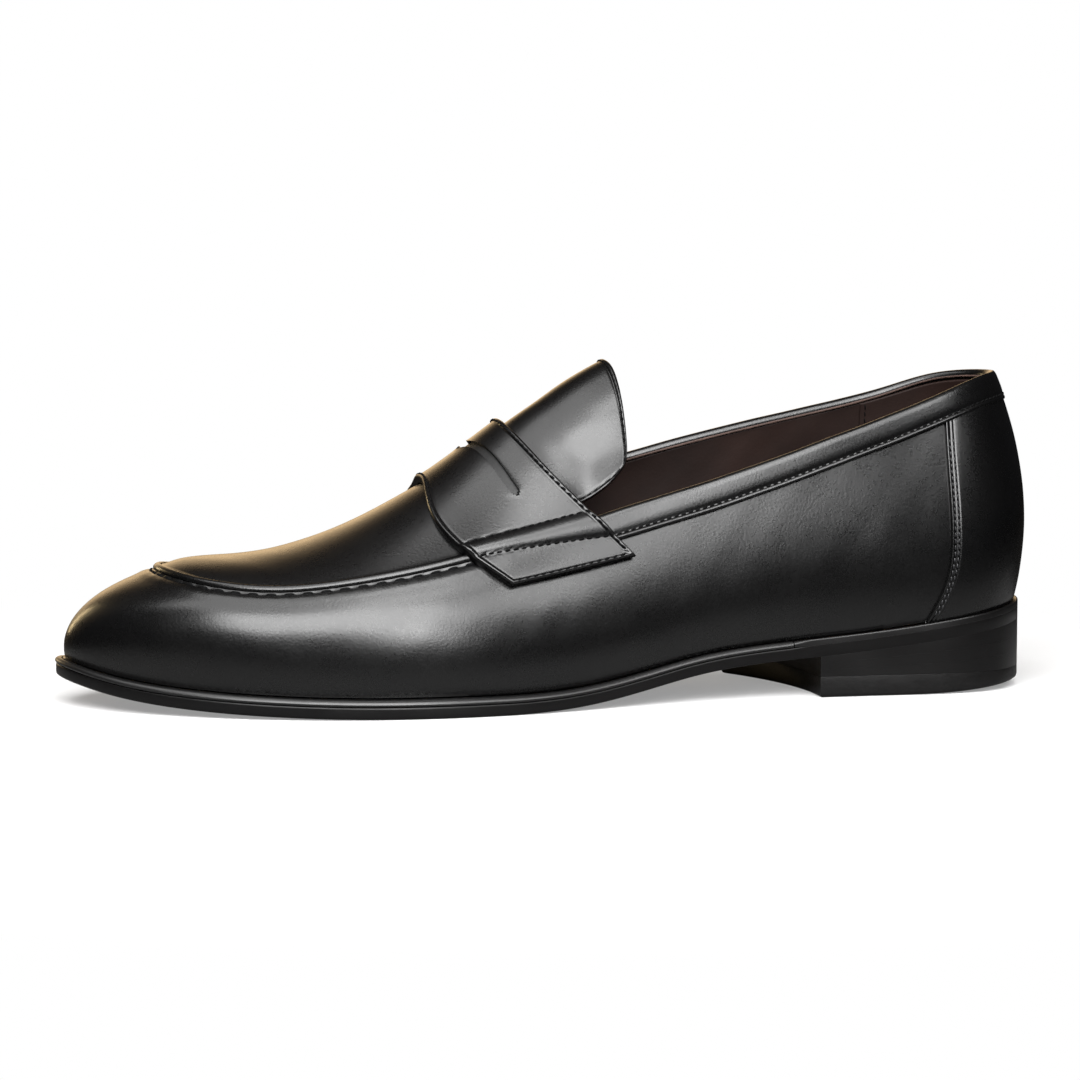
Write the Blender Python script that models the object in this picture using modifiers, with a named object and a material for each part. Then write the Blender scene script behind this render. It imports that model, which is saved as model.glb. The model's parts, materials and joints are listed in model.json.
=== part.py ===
"""Left penny loafer as its separate pieces: leather upper, linings, welted sole and stacked heel.

Metres, +Z up, toe towards -X, outer (lateral) side towards -Y. The shape is worked out in
millimetres of shoe space: s runs back from the tip of the sole, v runs across from the middle
of the heel towards the inner side, and z runs up from the ground.
"""

import math

import bmesh
import bpy
import numpy as np
from mathutils.bvhtree import BVHTree

MM = 0.001
ORIGIN_S = 149.3
ORIGIN_V = -2.02

# Plan outline of the sole, (s, v), from the toe tip back along the outer side, round the
# heel and forward along the inner side. Every loop below has its stations in this order.
SOLE_OUTLINE = [
    (0, 4), (9, -15), (28, -31), (55, -44.5), (85, -52), (112, -53),
    (140, -48.3), (168, -41), (198, -35.5), (230, -33.3), (263, -33.3), (286, -25.5),
    (297, 0), (286, 25.5), (263, 33.3), (230, 31.5), (198, 28.2), (168, 30),
    (140, 38), (112, 46.5), (85, 49.2), (55, 44), (28, 33), (9, 20.5),
]

# Upper edge of the side leather, (s, v, z): the apron seam in front, the topline behind.
TOP_EDGE = [
    (30, 4, 39.4), (34.6, -12.3, 38.2), (45.6, -24.8, 36.3), (64, -33.2, 35.4), (88, -37.3, 38.2),
    (112, -37.2, 42.8), (136, -33.8, 48.8), (160, -30, 56.5), (192, -28.2, 65.6),
    (227, -27.2, 77.2), (257.5, -24.6, 88), (278.4, -17.5, 95.4), (289, 0, 97.3),
    (278.4, 17.5, 96.4), (258, 25.4, 90.2), (227, 27.2, 83.1), (192, 28.2, 74.8), (160, 30, 65),
    (136, 34.2, 54.4), (112, 38, 46), (88, 38.6, 40), (64, 35.6, 36.6), (45.6, 28.8, 36.9),
    (34.6, 19.3, 38.4),
]

# Curve of the side from the welt to the upper edge at each station: how far its lower
# handle leans out and rises, and how far its upper handle leans out and drops.
WALL_HANDLES = [
    (2.4, 11.4, 17.4, 5.2), (2.2, 11.2, 15.8, 5.4), (1.9, 10.8, 13.6, 5.6), (2.5, 11, 11, 5.4),
    (3, 12, 10.5, 5.6), (4, 14, 10, 8), (5, 16, 8.5, 11.5), (6, 18, 6.5, 14),
    (7, 20, 4.5, 18), (7.5, 22, 4, 21), (7.5, 22, 5, 21), (6.6, 22, 9, 24),
    (5.2, 22, 11.2, 26), (6.6, 22, 9, 24), (7.5, 22, 5, 21), (6, 22, 4, 21),
    (5, 20, 4.5, 18), (4.5, 18, 7.5, 14), (4, 16, 8.5, 10.5), (3.5, 14, 10, 7.5),
    (3, 12, 10.5, 5.6), (2.5, 11, 11, 5.4), (1.8, 10.8, 13.6, 5.6), (1.6, 11.2, 16, 5.4),
]
STATIONS = len(SOLE_OUTLINE)
HEEL_STATION = 12

# Underside of the sole along the shoe, (s, z): toe spring, flat tread, waist, heel seat.
SOLE_PROFILE = [
    (0, 8.5), (15, 4.9), (33, 2.4), (58, 0.8), (85, 0.05), (105, 0), (126, 0), (142, 0.6),
    (155, 2.1), (170, 5.0), (185, 8.2), (200, 10.3), (222, 12.2), (245, 14.4), (271, 17.8),
    (300, 21.8),
]

# How far the upper stands in from the edge of the sole, (s, distance).
WELT_WIDTH = [(0, 2.9), (20, 3.6), (60, 4.2), (120, 4), (160, 2.8), (200, 2.2), (240, 1.9), (300, 1.5)]

# Middle line over the toe and instep, (s, v, z), and the upper-edge station at the end of
# the arch that crosses it there.
CREST = [
    (30, 4, 39.4), (35.5, 3.9, 41.4), (43, 3.7, 42.5), (52, 3.4, 43), (64, 3.1, 44.5),
    (78, 2.8, 48.5), (92, 2.5, 54.4), (104, 2.3, 60.8), (115, 2.1, 67.2), (125, 2, 74.2),
    (136, 2, 82),
]
ARCH_STATIONS = [1.4, 2.05, 2.55, 3.05, 3.5, 4.08, 4.62, 5.17, 5.7, 6.25, 6.87]
ARCH_FULLNESS = 0.15
TOE_BLEND = 26
APRON_CORNER = 5

# Sole unit, thicknesses from the ground side up.
GAP = 0.3
OUTSOLE_THICK = 3.5
WELT_THICK = 1.7
WELT_INNER = 5.5
SOLE_STACK = OUTSOLE_THICK + GAP + WELT_THICK
CORK_THICK = 1.3
SHANK_THICK = 1.2
SHANK_HALF_WIDTH = 7
SHANK_SPAN = (146, 248)
CORK_SPAN = (0.9, 5.9)
INSOLE_THICK = 2.2
SOCK_THICK = 1
INSOLE_INSET = 5.6
SOCK_INSET = 6.2
RAND_START = 8.55
RAND_END = 15.45

# Heel block.
TOP_PIECE_THICK = 6
LIFTS = 3
BREAST_STATIONS = (8.8, 15.6)
BREAST_HOLLOW = 4.5
NAIL_RADIUS = 0.9
NAIL_CLEARANCE = 0.4
NAIL_SPOTS = [(240, -18), (240, 15), (263, -20), (263, 20), (284, 0)]

# Leather and stiffener thicknesses, and how deep each layer lies under the outer surface.
UPPER_THICK = 1.3
STIFFENER_THICK = 1.1
LINING_THICK = 0.9
LAYER_GAP = 0.6
STIFFENER_DEPTH = UPPER_THICK + LAYER_GAP
DEEP_LINING = STIFFENER_DEPTH + STIFFENER_THICK + LAYER_GAP
SHALLOW_LINING = UPPER_THICK + LAYER_GAP
PIPING_RADIUS = 0.7
PIPING_ROOM = 1.5
PIPING_STATION = 6.7

# Side seam between the skirt and the heel foxing, (share of the wall's height, s).
SIDE_SEAM = [(0, 257), (0.15, 261.8), (0.4, 264), (0.7, 264), (1, 264.8)]
SEAM_GAP = 0.35

# Binding round the topline.
BINDING_HEIGHT = 9.5
BINDING_THICK = 0.9
BINDING_FOLD = 2.6
BINDING_START = (155.8, 166.5)
BINDING_START_INNER = (157.5, 166)

# Strap over the instep: its front and rear edges from the outer side over to the inner.
STRAP_FRONT = [
    (127.5, -43, 35.8), (115.6, -36.5, 44), (108, -25, 54.4), (107.8, -10, 62.6), (108.4, 2, 64),
    (106.6, 14, 61.4), (108.6, 29, 53), (117.5, 38, 45.5), (128.5, 41.5, 37.5),
]
STRAP_REAR = [
    (165.5, -38, 44), (152.5, -30.5, 57), (142.5, -23, 68.5), (135.8, -10, 77.5), (134, 2, 80.6),
    (135.8, 14, 77.8), (142.5, 26.5, 71), (152.5, 31, 62), (165, 36, 49),
]
STRAP_THICK = 2
STRAP_LIFT = 0.35
STRAP_REAR_LIFT = 0.6
STRAP_RIDGE = 1.05
STRAP_RIDGE_WIDTH = 4
SLOT_MIDDLE = 0.55
SLOT_BEND = 0.32
SLOT_REACH = (1.75, 5.9)
SLOT_HALF_WIDTH = 0.03

# Tongue: middle line and its two edges, (s, v, z), from the strap to the tip.
TONGUE_MIDDLE = [(136.6, 2, 82.8), (144.5, 2, 88.2), (154, 2.5, 94.6), (165.4, 3, 100.8)]
TONGUE_OUTER = [(154, -26.2, 61.4), (160, -25.6, 66), (166.5, -23.3, 72.8), (173.5, -18.4, 84)]
TONGUE_INNER = [(154, 27, 68.4), (160, 26.8, 71.6), (166.5, 26, 77.2), (173.5, 22.4, 85.2)]

# Colours (linear), roughness and metallic value of each finish.
BLACK_CALF = ((0.012, 0.011, 0.011), 0.36, 0.0)
BLACK_EDGE = ((0.012, 0.01, 0.01), 0.28, 0.0)
BROWN_LINING = ((0.085, 0.035, 0.022), 0.6, 0.0)
RED_BROWN_SOLE = ((0.1, 0.025, 0.015), 0.5, 0.0)
TAN_BOARD = ((0.45, 0.28, 0.15), 0.8, 0.0)
CORK = ((0.4, 0.24, 0.12), 0.95, 0.0)
STEEL = ((0.5, 0.5, 0.5), 0.35, 1.0)
BRASS = ((0.6, 0.42, 0.15), 0.35, 1.0)
RUBBER = ((0.015, 0.014, 0.014), 0.55, 0.0)


def clear_scene():
    for item in list(bpy.data.objects):
        bpy.data.objects.remove(item, do_unlink=True)


def new_collection(name):
    collection = bpy.data.collections.new(name)
    bpy.context.scene.collection.children.link(collection)
    return collection


def spline(knots, values, period=None):
    """Curve through values at knots, smooth to its second derivative."""
    x = np.asarray(knots, float)
    y = np.asarray(values, float).reshape(len(x), -1)
    if period:
        x = np.append(x, x[0] + period)
        y = np.vstack([y, y[:1]])
    step = np.diff(x)
    slope = np.diff(y, axis=0) / step[:, None]
    count = len(x)
    matrix = np.eye(count)
    right = np.zeros_like(y)
    for i in range(1, count - 1):
        matrix[i, i - 1:i + 2] = step[i - 1] / 6, (step[i - 1] + step[i]) / 3, step[i] / 6
        right[i] = slope[i] - slope[i - 1]
    if period:
        matrix[0, [0, 1, -2]] = (step[-1] + step[0]) / 3, step[0] / 6, step[-1] / 6
        right[0] = slope[0] - slope[-1]
        matrix[-1, [0, -1]] = -1, 1
    bend = np.linalg.solve(matrix, right)

    def at(t):
        t = np.atleast_1d(np.asarray(t, float))
        if period:
            t = (t - x[0]) % period + x[0]
        i = np.clip(np.searchsorted(x, t, side="right") - 1, 0, count - 2)
        h = step[i][:, None]
        a = (x[i + 1][:, None] - t[:, None]) / h
        b = 1 - a
        curve = (a ** 3 - a) * bend[i] + (b ** 3 - b) * bend[i + 1]
        return a * y[i] + b * y[i + 1] + curve * h ** 2 / 6

    return at


def loop(values):
    return spline(range(len(values)), values, period=len(values))


def along(table):
    table = np.asarray(table, float)
    return spline(table[:, 0], table[:, 1:])


OUTLINE = loop(SOLE_OUTLINE)
EDGE = loop(TOP_EDGE)
HANDLES = loop(WALL_HANDLES)
PROFILE = along(SOLE_PROFILE)
WIDTH = along(WELT_WIDTH)
CREST_AT = along(CREST)
ARCH_AT = spline([row[0] for row in CREST], ARCH_STATIONS)


def sole_low(s):
    return np.maximum(PROFILE(np.clip(s, 0, 300))[:, 0], 0)


def outward(t):
    """Horizontal direction out of the shoe at each station."""
    step = 0.01
    run = OUTLINE(np.asarray(t) + step) - OUTLINE(np.asarray(t) - step)
    normal = np.stack([run[:, 1], -run[:, 0]], axis=1)
    return normal / np.linalg.norm(normal, axis=1)[:, None]


def sole_plan(t, inset=0.0):
    return OUTLINE(t) - outward(t) * inset


def featherline(t):
    """Line where the upper meets the welt."""
    edge = OUTLINE(t)
    plan = edge - outward(t) * WIDTH(np.clip(edge[:, 0], 0, 300))
    z = sole_low(plan[:, 0]) + SOLE_STACK + GAP
    return np.column_stack([plan, z])


def wall(t, w):
    """Outer surface of the side leather: w is 0 at the welt and 1 at the upper edge."""
    t, w = np.broadcast_arrays(np.atleast_1d(t).astype(float), np.atleast_1d(w).astype(float))
    shape = t.shape
    t = t.ravel()
    w = w.ravel()[:, None]
    low = featherline(t)
    high = EDGE(t)
    side = np.column_stack([outward(t), np.zeros(len(t))])
    up = np.array([0, 0, 1.0])
    reach = HANDLES(t)
    low_handle = low + side * reach[:, 0:1] + up * reach[:, 1:2]
    high_handle = high + side * reach[:, 2:3] - up * reach[:, 3:4]
    point = ((1 - w) ** 3 * low + 3 * (1 - w) ** 2 * w * low_handle
             + 3 * (1 - w) * w ** 2 * high_handle + w ** 3 * high)
    return point.reshape(shape + (3,))


def wall_share(t, distance):
    """Share of the wall's height that lies this far below its upper edge."""
    shares = np.linspace(0, 1, 60)
    result = []
    for station in np.atleast_1d(t):
        points = wall(np.full(60, station), shares)
        run = np.append(0, np.cumsum(np.linalg.norm(np.diff(points, axis=0), axis=1)))
        result.append(np.interp(run[-1] - distance, run, shares))
    return np.array(result)


def station_at(s_target, w, low, high):
    """Station between low and high where the wall at share w reaches s_target."""
    for _ in range(40):
        middle = (low + high) / 2
        ahead = wall(middle, w)[0, 0] < s_target
        if ahead == (wall(high, w)[0, 0] > s_target):
            low = middle
        else:
            high = middle
    return (low + high) / 2


def instep(c, v):
    """Outer surface over the toe and instep: c is s on the middle line, v runs -1 to 1."""
    c, v = np.broadcast_arrays(np.atleast_1d(c).astype(float), np.atleast_1d(v).astype(float))
    shape = c.shape
    c = c.ravel()
    v = v.ravel()
    point = instep_arch(c, v)
    toe = np.full(len(c), float(CREST[0][0]))
    fade = np.clip(1 - (c - toe) / TOE_BLEND, 0, 1) ** 2
    true_front = EDGE(-v * ARCH_STATIONS[0])
    point = point + (true_front - instep_arch(toe, v)) * fade[:, None]
    return point.reshape(shape + (3,))


def instep_arch(c, v):
    station = ARCH_AT(c)[:, 0]
    side = np.where((v < 0)[:, None], EDGE(station), EDGE(-station))
    middle = CREST_AT(c)
    across = np.abs(v)
    drop = (1 - ARCH_FULLNESS) * across ** 2 + ARCH_FULLNESS * across ** 4
    s = c + (side[:, 0] - c) * across ** 2
    y = middle[:, 0] + (side[:, 1] - middle[:, 0]) * across
    z = middle[:, 1] + (side[:, 2] - middle[:, 1]) * drop
    return np.column_stack([s, y, z])


def to_world(points):
    return (np.asarray(points, float) - np.array([ORIGIN_S, ORIGIN_V, 0])) * MM


def material(name, finish):
    colour, roughness, metallic = finish
    made = bpy.data.materials.new(name)
    made.use_nodes = True
    shader = made.node_tree.nodes["Principled BSDF"]
    shader.inputs["Base Color"].default_value = (*colour, 1)
    shader.inputs["Roughness"].default_value = roughness
    shader.inputs["Metallic"].default_value = metallic
    made.diffuse_color = (*colour, 1)
    return made


def add_object(name, mesh, finish):
    item = bpy.data.objects.new(name, mesh)
    mesh.materials.append(material(name, finish))
    mesh.shade_smooth()
    PARTS.objects.link(item)
    return item


def add_grid(bm, grid):
    """Quads over a rows x columns array of world points."""
    verts = [[bm.verts.new(point) for point in row] for row in grid]
    for near, far in zip(verts, verts[1:]):
        for j in range(len(near) - 1):
            bm.faces.new((near[j], far[j], far[j + 1], near[j + 1]))


def shell(name, grids, depth, thickness, finish):
    """Sheet of even thickness lying depth under the given outer surface."""
    bm = bmesh.new()
    for grid in grids:
        add_grid(bm, to_world(grid))
    bmesh.ops.remove_doubles(bm, verts=bm.verts, dist=2e-6)
    bm.normal_update()
    for vert in bm.verts:
        vert.co -= vert.normal * depth * MM
    mesh = bpy.data.meshes.new(name)
    bm.to_mesh(mesh)
    bm.free()
    item = add_object(name, mesh, finish)
    solid = item.modifiers.new("Thickness", "SOLIDIFY")
    solid.thickness = thickness * MM
    solid.offset = -1
    return item


def slab(name, plan, low, high, finish):
    """Solid between two heights over a plan grid whose two end rows may shrink to a point."""
    plan = np.asarray(plan, float)
    rows, columns = plan.shape[:2]
    flat = plan.reshape(-1, 2)
    under = np.column_stack([flat, low(flat)]).reshape(rows, columns, 3)
    over = np.column_stack([flat, high(flat)]).reshape(rows, columns, 3)
    bm = bmesh.new()
    add_grid(bm, to_world(over))
    add_grid(bm, to_world(under[:, ::-1]))
    for rim in ((under[:, 0], over[:, 0]), (over[:, -1], under[:, -1]),
                (over[0], under[0]), (under[-1], over[-1])):
        add_grid(bm, to_world(np.stack(rim, axis=1)))
    bmesh.ops.remove_doubles(bm, verts=bm.verts, dist=2e-6)
    bmesh.ops.dissolve_degenerate(bm, edges=bm.edges, dist=2e-6)
    mesh = bpy.data.meshes.new(name)
    bm.to_mesh(mesh)
    bm.free()
    item = add_object(name, mesh, finish)
    mesh.set_sharp_from_angle(angle=math.radians(40))
    return item


def sole_rows(inset, start, end, rows, columns=3):
    """Plan grid of a sole-shaped layer: each row runs from the outer to the inner side."""
    stations = np.linspace(start, end, rows)
    share = np.linspace(0, 1, columns)[None, :, None]
    outer = sole_plan(stations, inset)[:, None, :]
    inner = sole_plan(-stations, inset)[:, None, :]
    return outer * (1 - share) + inner * share


def layer(offset):
    """Height function that follows the underside of the sole at an offset."""
    return lambda plan: sole_low(plan[:, 0]) + offset


def outsole():
    plan = sole_rows(0, 0, HEEL_STATION, 41)
    return slab("outsole", plan, layer(0), layer(OUTSOLE_THICK), RED_BROWN_SOLE)


def edge_strip(name, start, end, rows, finish):
    """Welt-like strip lying on the edge of the outsole."""
    stations = np.linspace(start, end, rows)
    outer = sole_plan(stations, 0)
    edge_width = WIDTH(np.clip(outer[:, 0], 0, 300)) + WELT_INNER
    inner = outer - outward(stations) * edge_width
    plan = np.stack([outer, inner], axis=1)
    low = OUTSOLE_THICK + GAP
    return slab(name, plan, layer(low), layer(low + WELT_THICK), finish)


def welt():
    clearance = 0.02
    start = RAND_END - STATIONS + clearance
    return edge_strip("welt", start, RAND_START - clearance, 61, BLACK_EDGE)


def heel_rand():
    return edge_strip("heel_rand", RAND_START, RAND_END, 27, BLACK_EDGE)


def cork_filler():
    stations = np.linspace(CORK_SPAN[0], CORK_SPAN[1], 20)
    share = np.linspace(0, 1, 3)[None, :, None]
    inset = 12
    outer = sole_plan(stations, inset)[:, None, :]
    inner = sole_plan(-stations, inset)[:, None, :]
    plan = outer * (1 - share) + inner * share
    low = OUTSOLE_THICK + GAP
    return slab("cork_filler", plan, layer(low), layer(low + CORK_THICK), CORK)


def steel_shank():
    runs = np.linspace(SHANK_SPAN[0], SHANK_SPAN[1], 14)
    middle = np.interp(runs, [SHANK_SPAN[0], 190, SHANK_SPAN[1]], [-4, -3, 0])
    sides = np.array([-SHANK_HALF_WIDTH, SHANK_HALF_WIDTH])
    plan = np.stack([np.broadcast_to(runs[:, None], (14, 2)), middle[:, None] + sides], axis=2)
    low = OUTSOLE_THICK + GAP
    return slab("steel_shank", plan, layer(low), layer(low + SHANK_THICK), STEEL)


def insole_board():
    plan = inner_rows(INSOLE_INSET)
    low = SOLE_STACK + GAP
    return slab("insole_board", plan, layer(low), layer(low + INSOLE_THICK), TAN_BOARD)


def sock_liner():
    plan = inner_rows(SOCK_INSET)
    low = SOLE_STACK + GAP + INSOLE_THICK + GAP
    return slab("sock_liner", plan, layer(low), layer(low + SOCK_THICK), BROWN_LINING)


def inner_rows(extra):
    """Plan grid inside the linings, extra in from the featherline."""
    stations = np.linspace(0, HEEL_STATION, 31)
    sides = []
    for sign in (1, -1):
        edge = OUTLINE(sign * stations)
        inset = WIDTH(np.clip(edge[:, 0], 0, 300)) + extra
        sides.append(edge - outward(sign * stations) * inset)
    share = np.linspace(0, 1, 3)[None, :, None]
    return sides[0][:, None, :] * (1 - share) + sides[1][:, None, :] * share


def heel_rows():
    """Plan grid of the heel: the first row is the hollow breast, the last the heel's back."""
    rows, columns = 10, 5
    start_outer, start_inner = BREAST_STATIONS
    outer = sole_plan(np.linspace(start_outer, HEEL_STATION, rows))[:, None, :]
    inner = sole_plan(np.linspace(start_inner, HEEL_STATION, rows))[:, None, :]
    share = np.linspace(0, 1, columns)[None, :, None]
    plan = outer * (1 - share) + inner * share
    hollow = BREAST_HOLLOW * 4 * share[..., 0] * (1 - share[..., 0])
    fade = (1 - np.linspace(0, 1, rows)[:, None]) ** 3
    plan[..., 0] += hollow * fade
    return plan


def heel_top_piece():
    """Flat bottom block of the heel, an extruded outline."""
    plan = heel_rows()
    outline = np.vstack([plan[::-1, 0], plan[0, 1:-1], plan[:, -1][:-1]])
    curve = bpy.data.curves.new("heel_top_piece", "CURVE")
    curve.dimensions = "2D"
    curve.fill_mode = "BOTH"
    curve.extrude = TOP_PIECE_THICK / 2 * MM
    path = curve.splines.new("POLY")
    path.points.add(len(outline) - 1)
    path.use_cyclic_u = True
    flat = to_world(np.column_stack([outline, np.zeros(len(outline))]))
    for point, place in zip(path.points, flat):
        point.co = (*place, 1)
    item = bpy.data.objects.new("heel_top_piece", curve)
    item.location.z = TOP_PIECE_THICK / 2 * MM
    curve.materials.append(material("heel_top_piece", RUBBER))
    PARTS.objects.link(item)
    return item


def heel_lifts():
    """Skived leather lifts that fan from the flat top piece up to the sloping heel seat."""
    plan = heel_rows()
    base = TOP_PIECE_THICK + GAP

    def level(index, raise_by):
        def height(flat):
            seat = sole_low(flat[:, 0]) - GAP
            return base + (seat - base) * index / LIFTS + raise_by
        return height

    made = []
    for index in range(LIFTS):
        gap = GAP if index else 0
        name = f"heel_lift_{index + 1}"
        made.append(slab(name, plan, level(index, gap), level(index + 1, 0), BLACK_EDGE))
    return made


def cylinder(name, spot, radius, low, high):
    centre = to_world([(*spot, (low + high) / 2)])[0]
    bpy.ops.mesh.primitive_cylinder_add(
        vertices=10, radius=radius * MM, depth=(high - low) * MM, location=centre)
    item = bpy.context.object
    item.name = name
    for owner in list(item.users_collection):
        owner.objects.unlink(item)
    return item


def heel_nails(pieces):
    """Nails from the insole down through the sole and lifts, in clearance holes."""
    for index, spot in enumerate(NAIL_SPOTS):
        seat = sole_low(np.array([spot[0]]))[0]
        top = seat + SOLE_STACK + GAP + INSOLE_THICK - 0.2
        nail = cylinder(f"heel_nail_{index + 1}", spot, NAIL_RADIUS, TOP_PIECE_THICK + GAP, top)
        nail.data.materials.append(material(nail.name, BRASS))
        nail.data.shade_smooth()
        nail.data.set_sharp_from_angle(angle=math.radians(40))
        PARTS.objects.link(nail)
        hole = cylinder(f"nail_hole_{index + 1}", spot, NAIL_RADIUS + NAIL_CLEARANCE, -5, 60)
        hide_cutter(hole)
        for piece in pieces:
            cut(piece, hole)


def hide_cutter(item):
    item.hide_render = True
    item.display_type = "WIRE"
    CUTTERS.objects.link(item)


def cut(item, cutter):
    hole = item.modifiers.new("Cut", "BOOLEAN")
    hole.operation = "DIFFERENCE"
    hole.solver = "EXACT"
    hole.object = cutter


def seam_stations(shares, low, high, shift):
    """Station of the side seam at each share of the wall's height."""
    seam = along(SIDE_SEAM)
    return [station_at(seam([w])[0, 0] + shift, w, low, high) for w in shares]


def vamp_skirt():
    """One-piece side leather from the outer side seam round the toe to the inner seam."""
    shares = np.linspace(0, 1, 7)
    outer = seam_stations(shares, 9, 11.5, -SEAM_GAP)
    inner = seam_stations(shares, 15, 12.5, -SEAM_GAP)
    rows = []
    for share in np.linspace(0, 1, 53):
        stations = np.array([(b - STATIONS) * (1 - share) + a * share
                             for a, b in zip(outer, inner)])
        under_cord = abs(stations[-1]) < PIPING_STATION + 0.15
        top = wall_share(stations[-1:], PIPING_ROOM if under_cord else GAP)[0]
        rows.append(wall(stations, shares * top))
    return shell("vamp_skirt", [np.array(rows)], 0, UPPER_THICK, BLACK_CALF)


def heel_foxing():
    """Leather round the back of the heel, between the two side seams."""
    shares = np.linspace(0, 1, 7)
    outer = seam_stations(shares, 9, 11.5, SEAM_GAP)
    inner = seam_stations(shares, 15, 12.5, SEAM_GAP)
    rows = []
    for share in np.linspace(0, 1, 19):
        stations = np.array([a * (1 - share) + b * share for a, b in zip(outer, inner)])
        top = wall_share(stations[-1:], GAP)[0]
        rows.append(wall(stations, shares * top))
    return shell("heel_foxing", [np.array(rows)], 0, UPPER_THICK, BLACK_CALF)


def apron():
    """Front panel inside the U-shaped seam, running back under the strap."""
    front = CREST[0][0] + PIPING_ROOM
    rows = []
    for c in np.concatenate([[front], np.linspace(34, 129, 12)]):
        half = abs(instep(c, 1)[0, 1] - instep(c, -1)[0, 1]) / 2
        reach = 1 - PIPING_ROOM / half
        across = np.linspace(-reach, reach, 13)
        corner = APRON_CORNER * max(0, 1 - (c - front) / TOE_BLEND) * across ** 2
        rows.append(instep(c + corner, across))
    return shell("apron", [np.array(rows)], 0, UPPER_THICK, BLACK_CALF)


def apron_piping():
    """Cord sewn along the seam between the apron and the skirt."""
    stations = np.linspace(-PIPING_STATION, PIPING_STATION, 45)
    path = to_world(EDGE(stations))
    return tube("apron_piping", path, PIPING_RADIUS, BLACK_CALF)


def tube(name, path, radius, finish):
    curve = bpy.data.curves.new(name, "CURVE")
    curve.dimensions = "3D"
    curve.bevel_depth = radius * MM
    curve.bevel_resolution = 1
    curve.use_fill_caps = True
    line = curve.splines.new("POLY")
    line.points.add(len(path) - 1)
    for point, place in zip(line.points, path):
        point.co = (*place, 1)
    curve.materials.append(material(name, finish))
    item = bpy.data.objects.new(name, curve)
    PARTS.objects.link(item)
    return item


def toe_puff():
    """Stiffener behind the toe of the skirt."""
    stations = np.linspace(-2.6, 2.6, 15)
    rows = [wall(np.full(5, t), np.linspace(0.12, 0.93, 5)) for t in stations]
    return shell("toe_puff", [np.array(rows)], STIFFENER_DEPTH, STIFFENER_THICK, TAN_BOARD)


def heel_counter():
    """Stiffener cupping the heel behind the foxing."""
    stations = np.linspace(10.15, 13.85, 17)
    rows = []
    for t in stations:
        rise = 0.72 - 0.05 * (t - HEEL_STATION) ** 2
        rows.append(wall(np.full(5, t), np.linspace(0.06, rise, 5)))
    depth = STIFFENER_DEPTH
    return shell("heel_counter", [np.array(rows)], depth, STIFFENER_THICK, TAN_BOARD)


def vamp_lining():
    """Lining of the forepart: up the sides and over under the apron, one sheet."""
    middle = np.linspace(CREST[0][0], 131, 12)
    across = np.linspace(-1, 1, 11)
    top = np.array([instep(np.full(11, c), across) for c in middle])
    side = list(ARCH_AT(middle)[:, 0])
    front = list(-across * ARCH_STATIONS[0])
    stations = [-t for t in side[::-1]] + sorted(front)[1:-1] + side
    rows = [wall(np.full(5, t), np.linspace(0.03, 1, 5)) for t in stations]
    return shell("vamp_lining", [np.array(rows), top], DEEP_LINING, LINING_THICK, BROWN_LINING)


def side_lining(name, start, end):
    rows = []
    for t in np.linspace(start, end, 9):
        top = wall_share([t], GAP)[0]
        rows.append(wall(np.full(6, t), np.linspace(0.03, top, 6)))
    return shell(name, [np.array(rows)], SHALLOW_LINING, LINING_THICK, BROWN_LINING)


def heel_lining():
    """Lining round the back of the heel, inside the counter."""
    rows = []
    for t in np.linspace(9.95, 14.05, 13):
        top = wall_share([t], GAP)[0]
        rows.append(wall(np.full(6, t), np.linspace(0.03, top, 6)))
    return shell("heel_lining", [np.array(rows)], DEEP_LINING, LINING_THICK, BROWN_LINING)


def collar_binding():
    """Band stitched round the topline and folded over its edge."""
    low_share = 0.0
    rows = []
    ends = []
    for side, start in ((1, BINDING_START), (-1, BINDING_START_INNER)):
        top = station_at(start[0], 1.0, *((6, 9) if side > 0 else (18, 15)))
        low_share = wall_share([top], BINDING_HEIGHT)[0]
        low = station_at(start[1], low_share, *((6, 9) if side > 0 else (18, 15)))
        ends.append((top, low))
    for share in np.linspace(0, 1, 41):
        top = ends[0][0] * (1 - share) + ends[1][0] * share
        low = ends[0][1] * (1 - share) + ends[1][1] * share
        drops = np.array([BINDING_HEIGHT, BINDING_HEIGHT / 2, 1.2, 0])
        stations = top + (low - top) * drops / BINDING_HEIGHT
        points = [wall(t, wall_share([t], drop))[0] for t, drop in zip(stations, drops)]
        side = np.append(outward([top])[0], 0)
        lifted = [point + side * GAP for point in points]
        fold_high = points[-1] + np.array([0, 0, GAP + 0.15])
        lifted.append(fold_high - side * 0.5)
        lifted.append(fold_high - side * BINDING_FOLD)
        rows.append(lifted)
    return shell("collar_binding", [np.array(rows)], -BINDING_THICK, BINDING_THICK, BLACK_CALF)


def outer_surface():
    """Search tree of the upper's outer surface, walls and instep together."""
    across = np.linspace(-1, 1, 61)
    middle = np.linspace(CREST[0][0], CREST[-1][0] + 2, 90)
    top = np.array([instep(np.full(61, c), across) for c in middle])
    stations = np.linspace(-8, 8, 180)
    side = np.array([wall(np.full(40, t), np.linspace(0, 1, 40)) for t in stations])
    bm = bmesh.new()
    add_grid(bm, top)
    add_grid(bm, side)
    bm.normal_update()
    tree = BVHTree.FromBMesh(bm)
    bm.free()
    return tree


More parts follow.
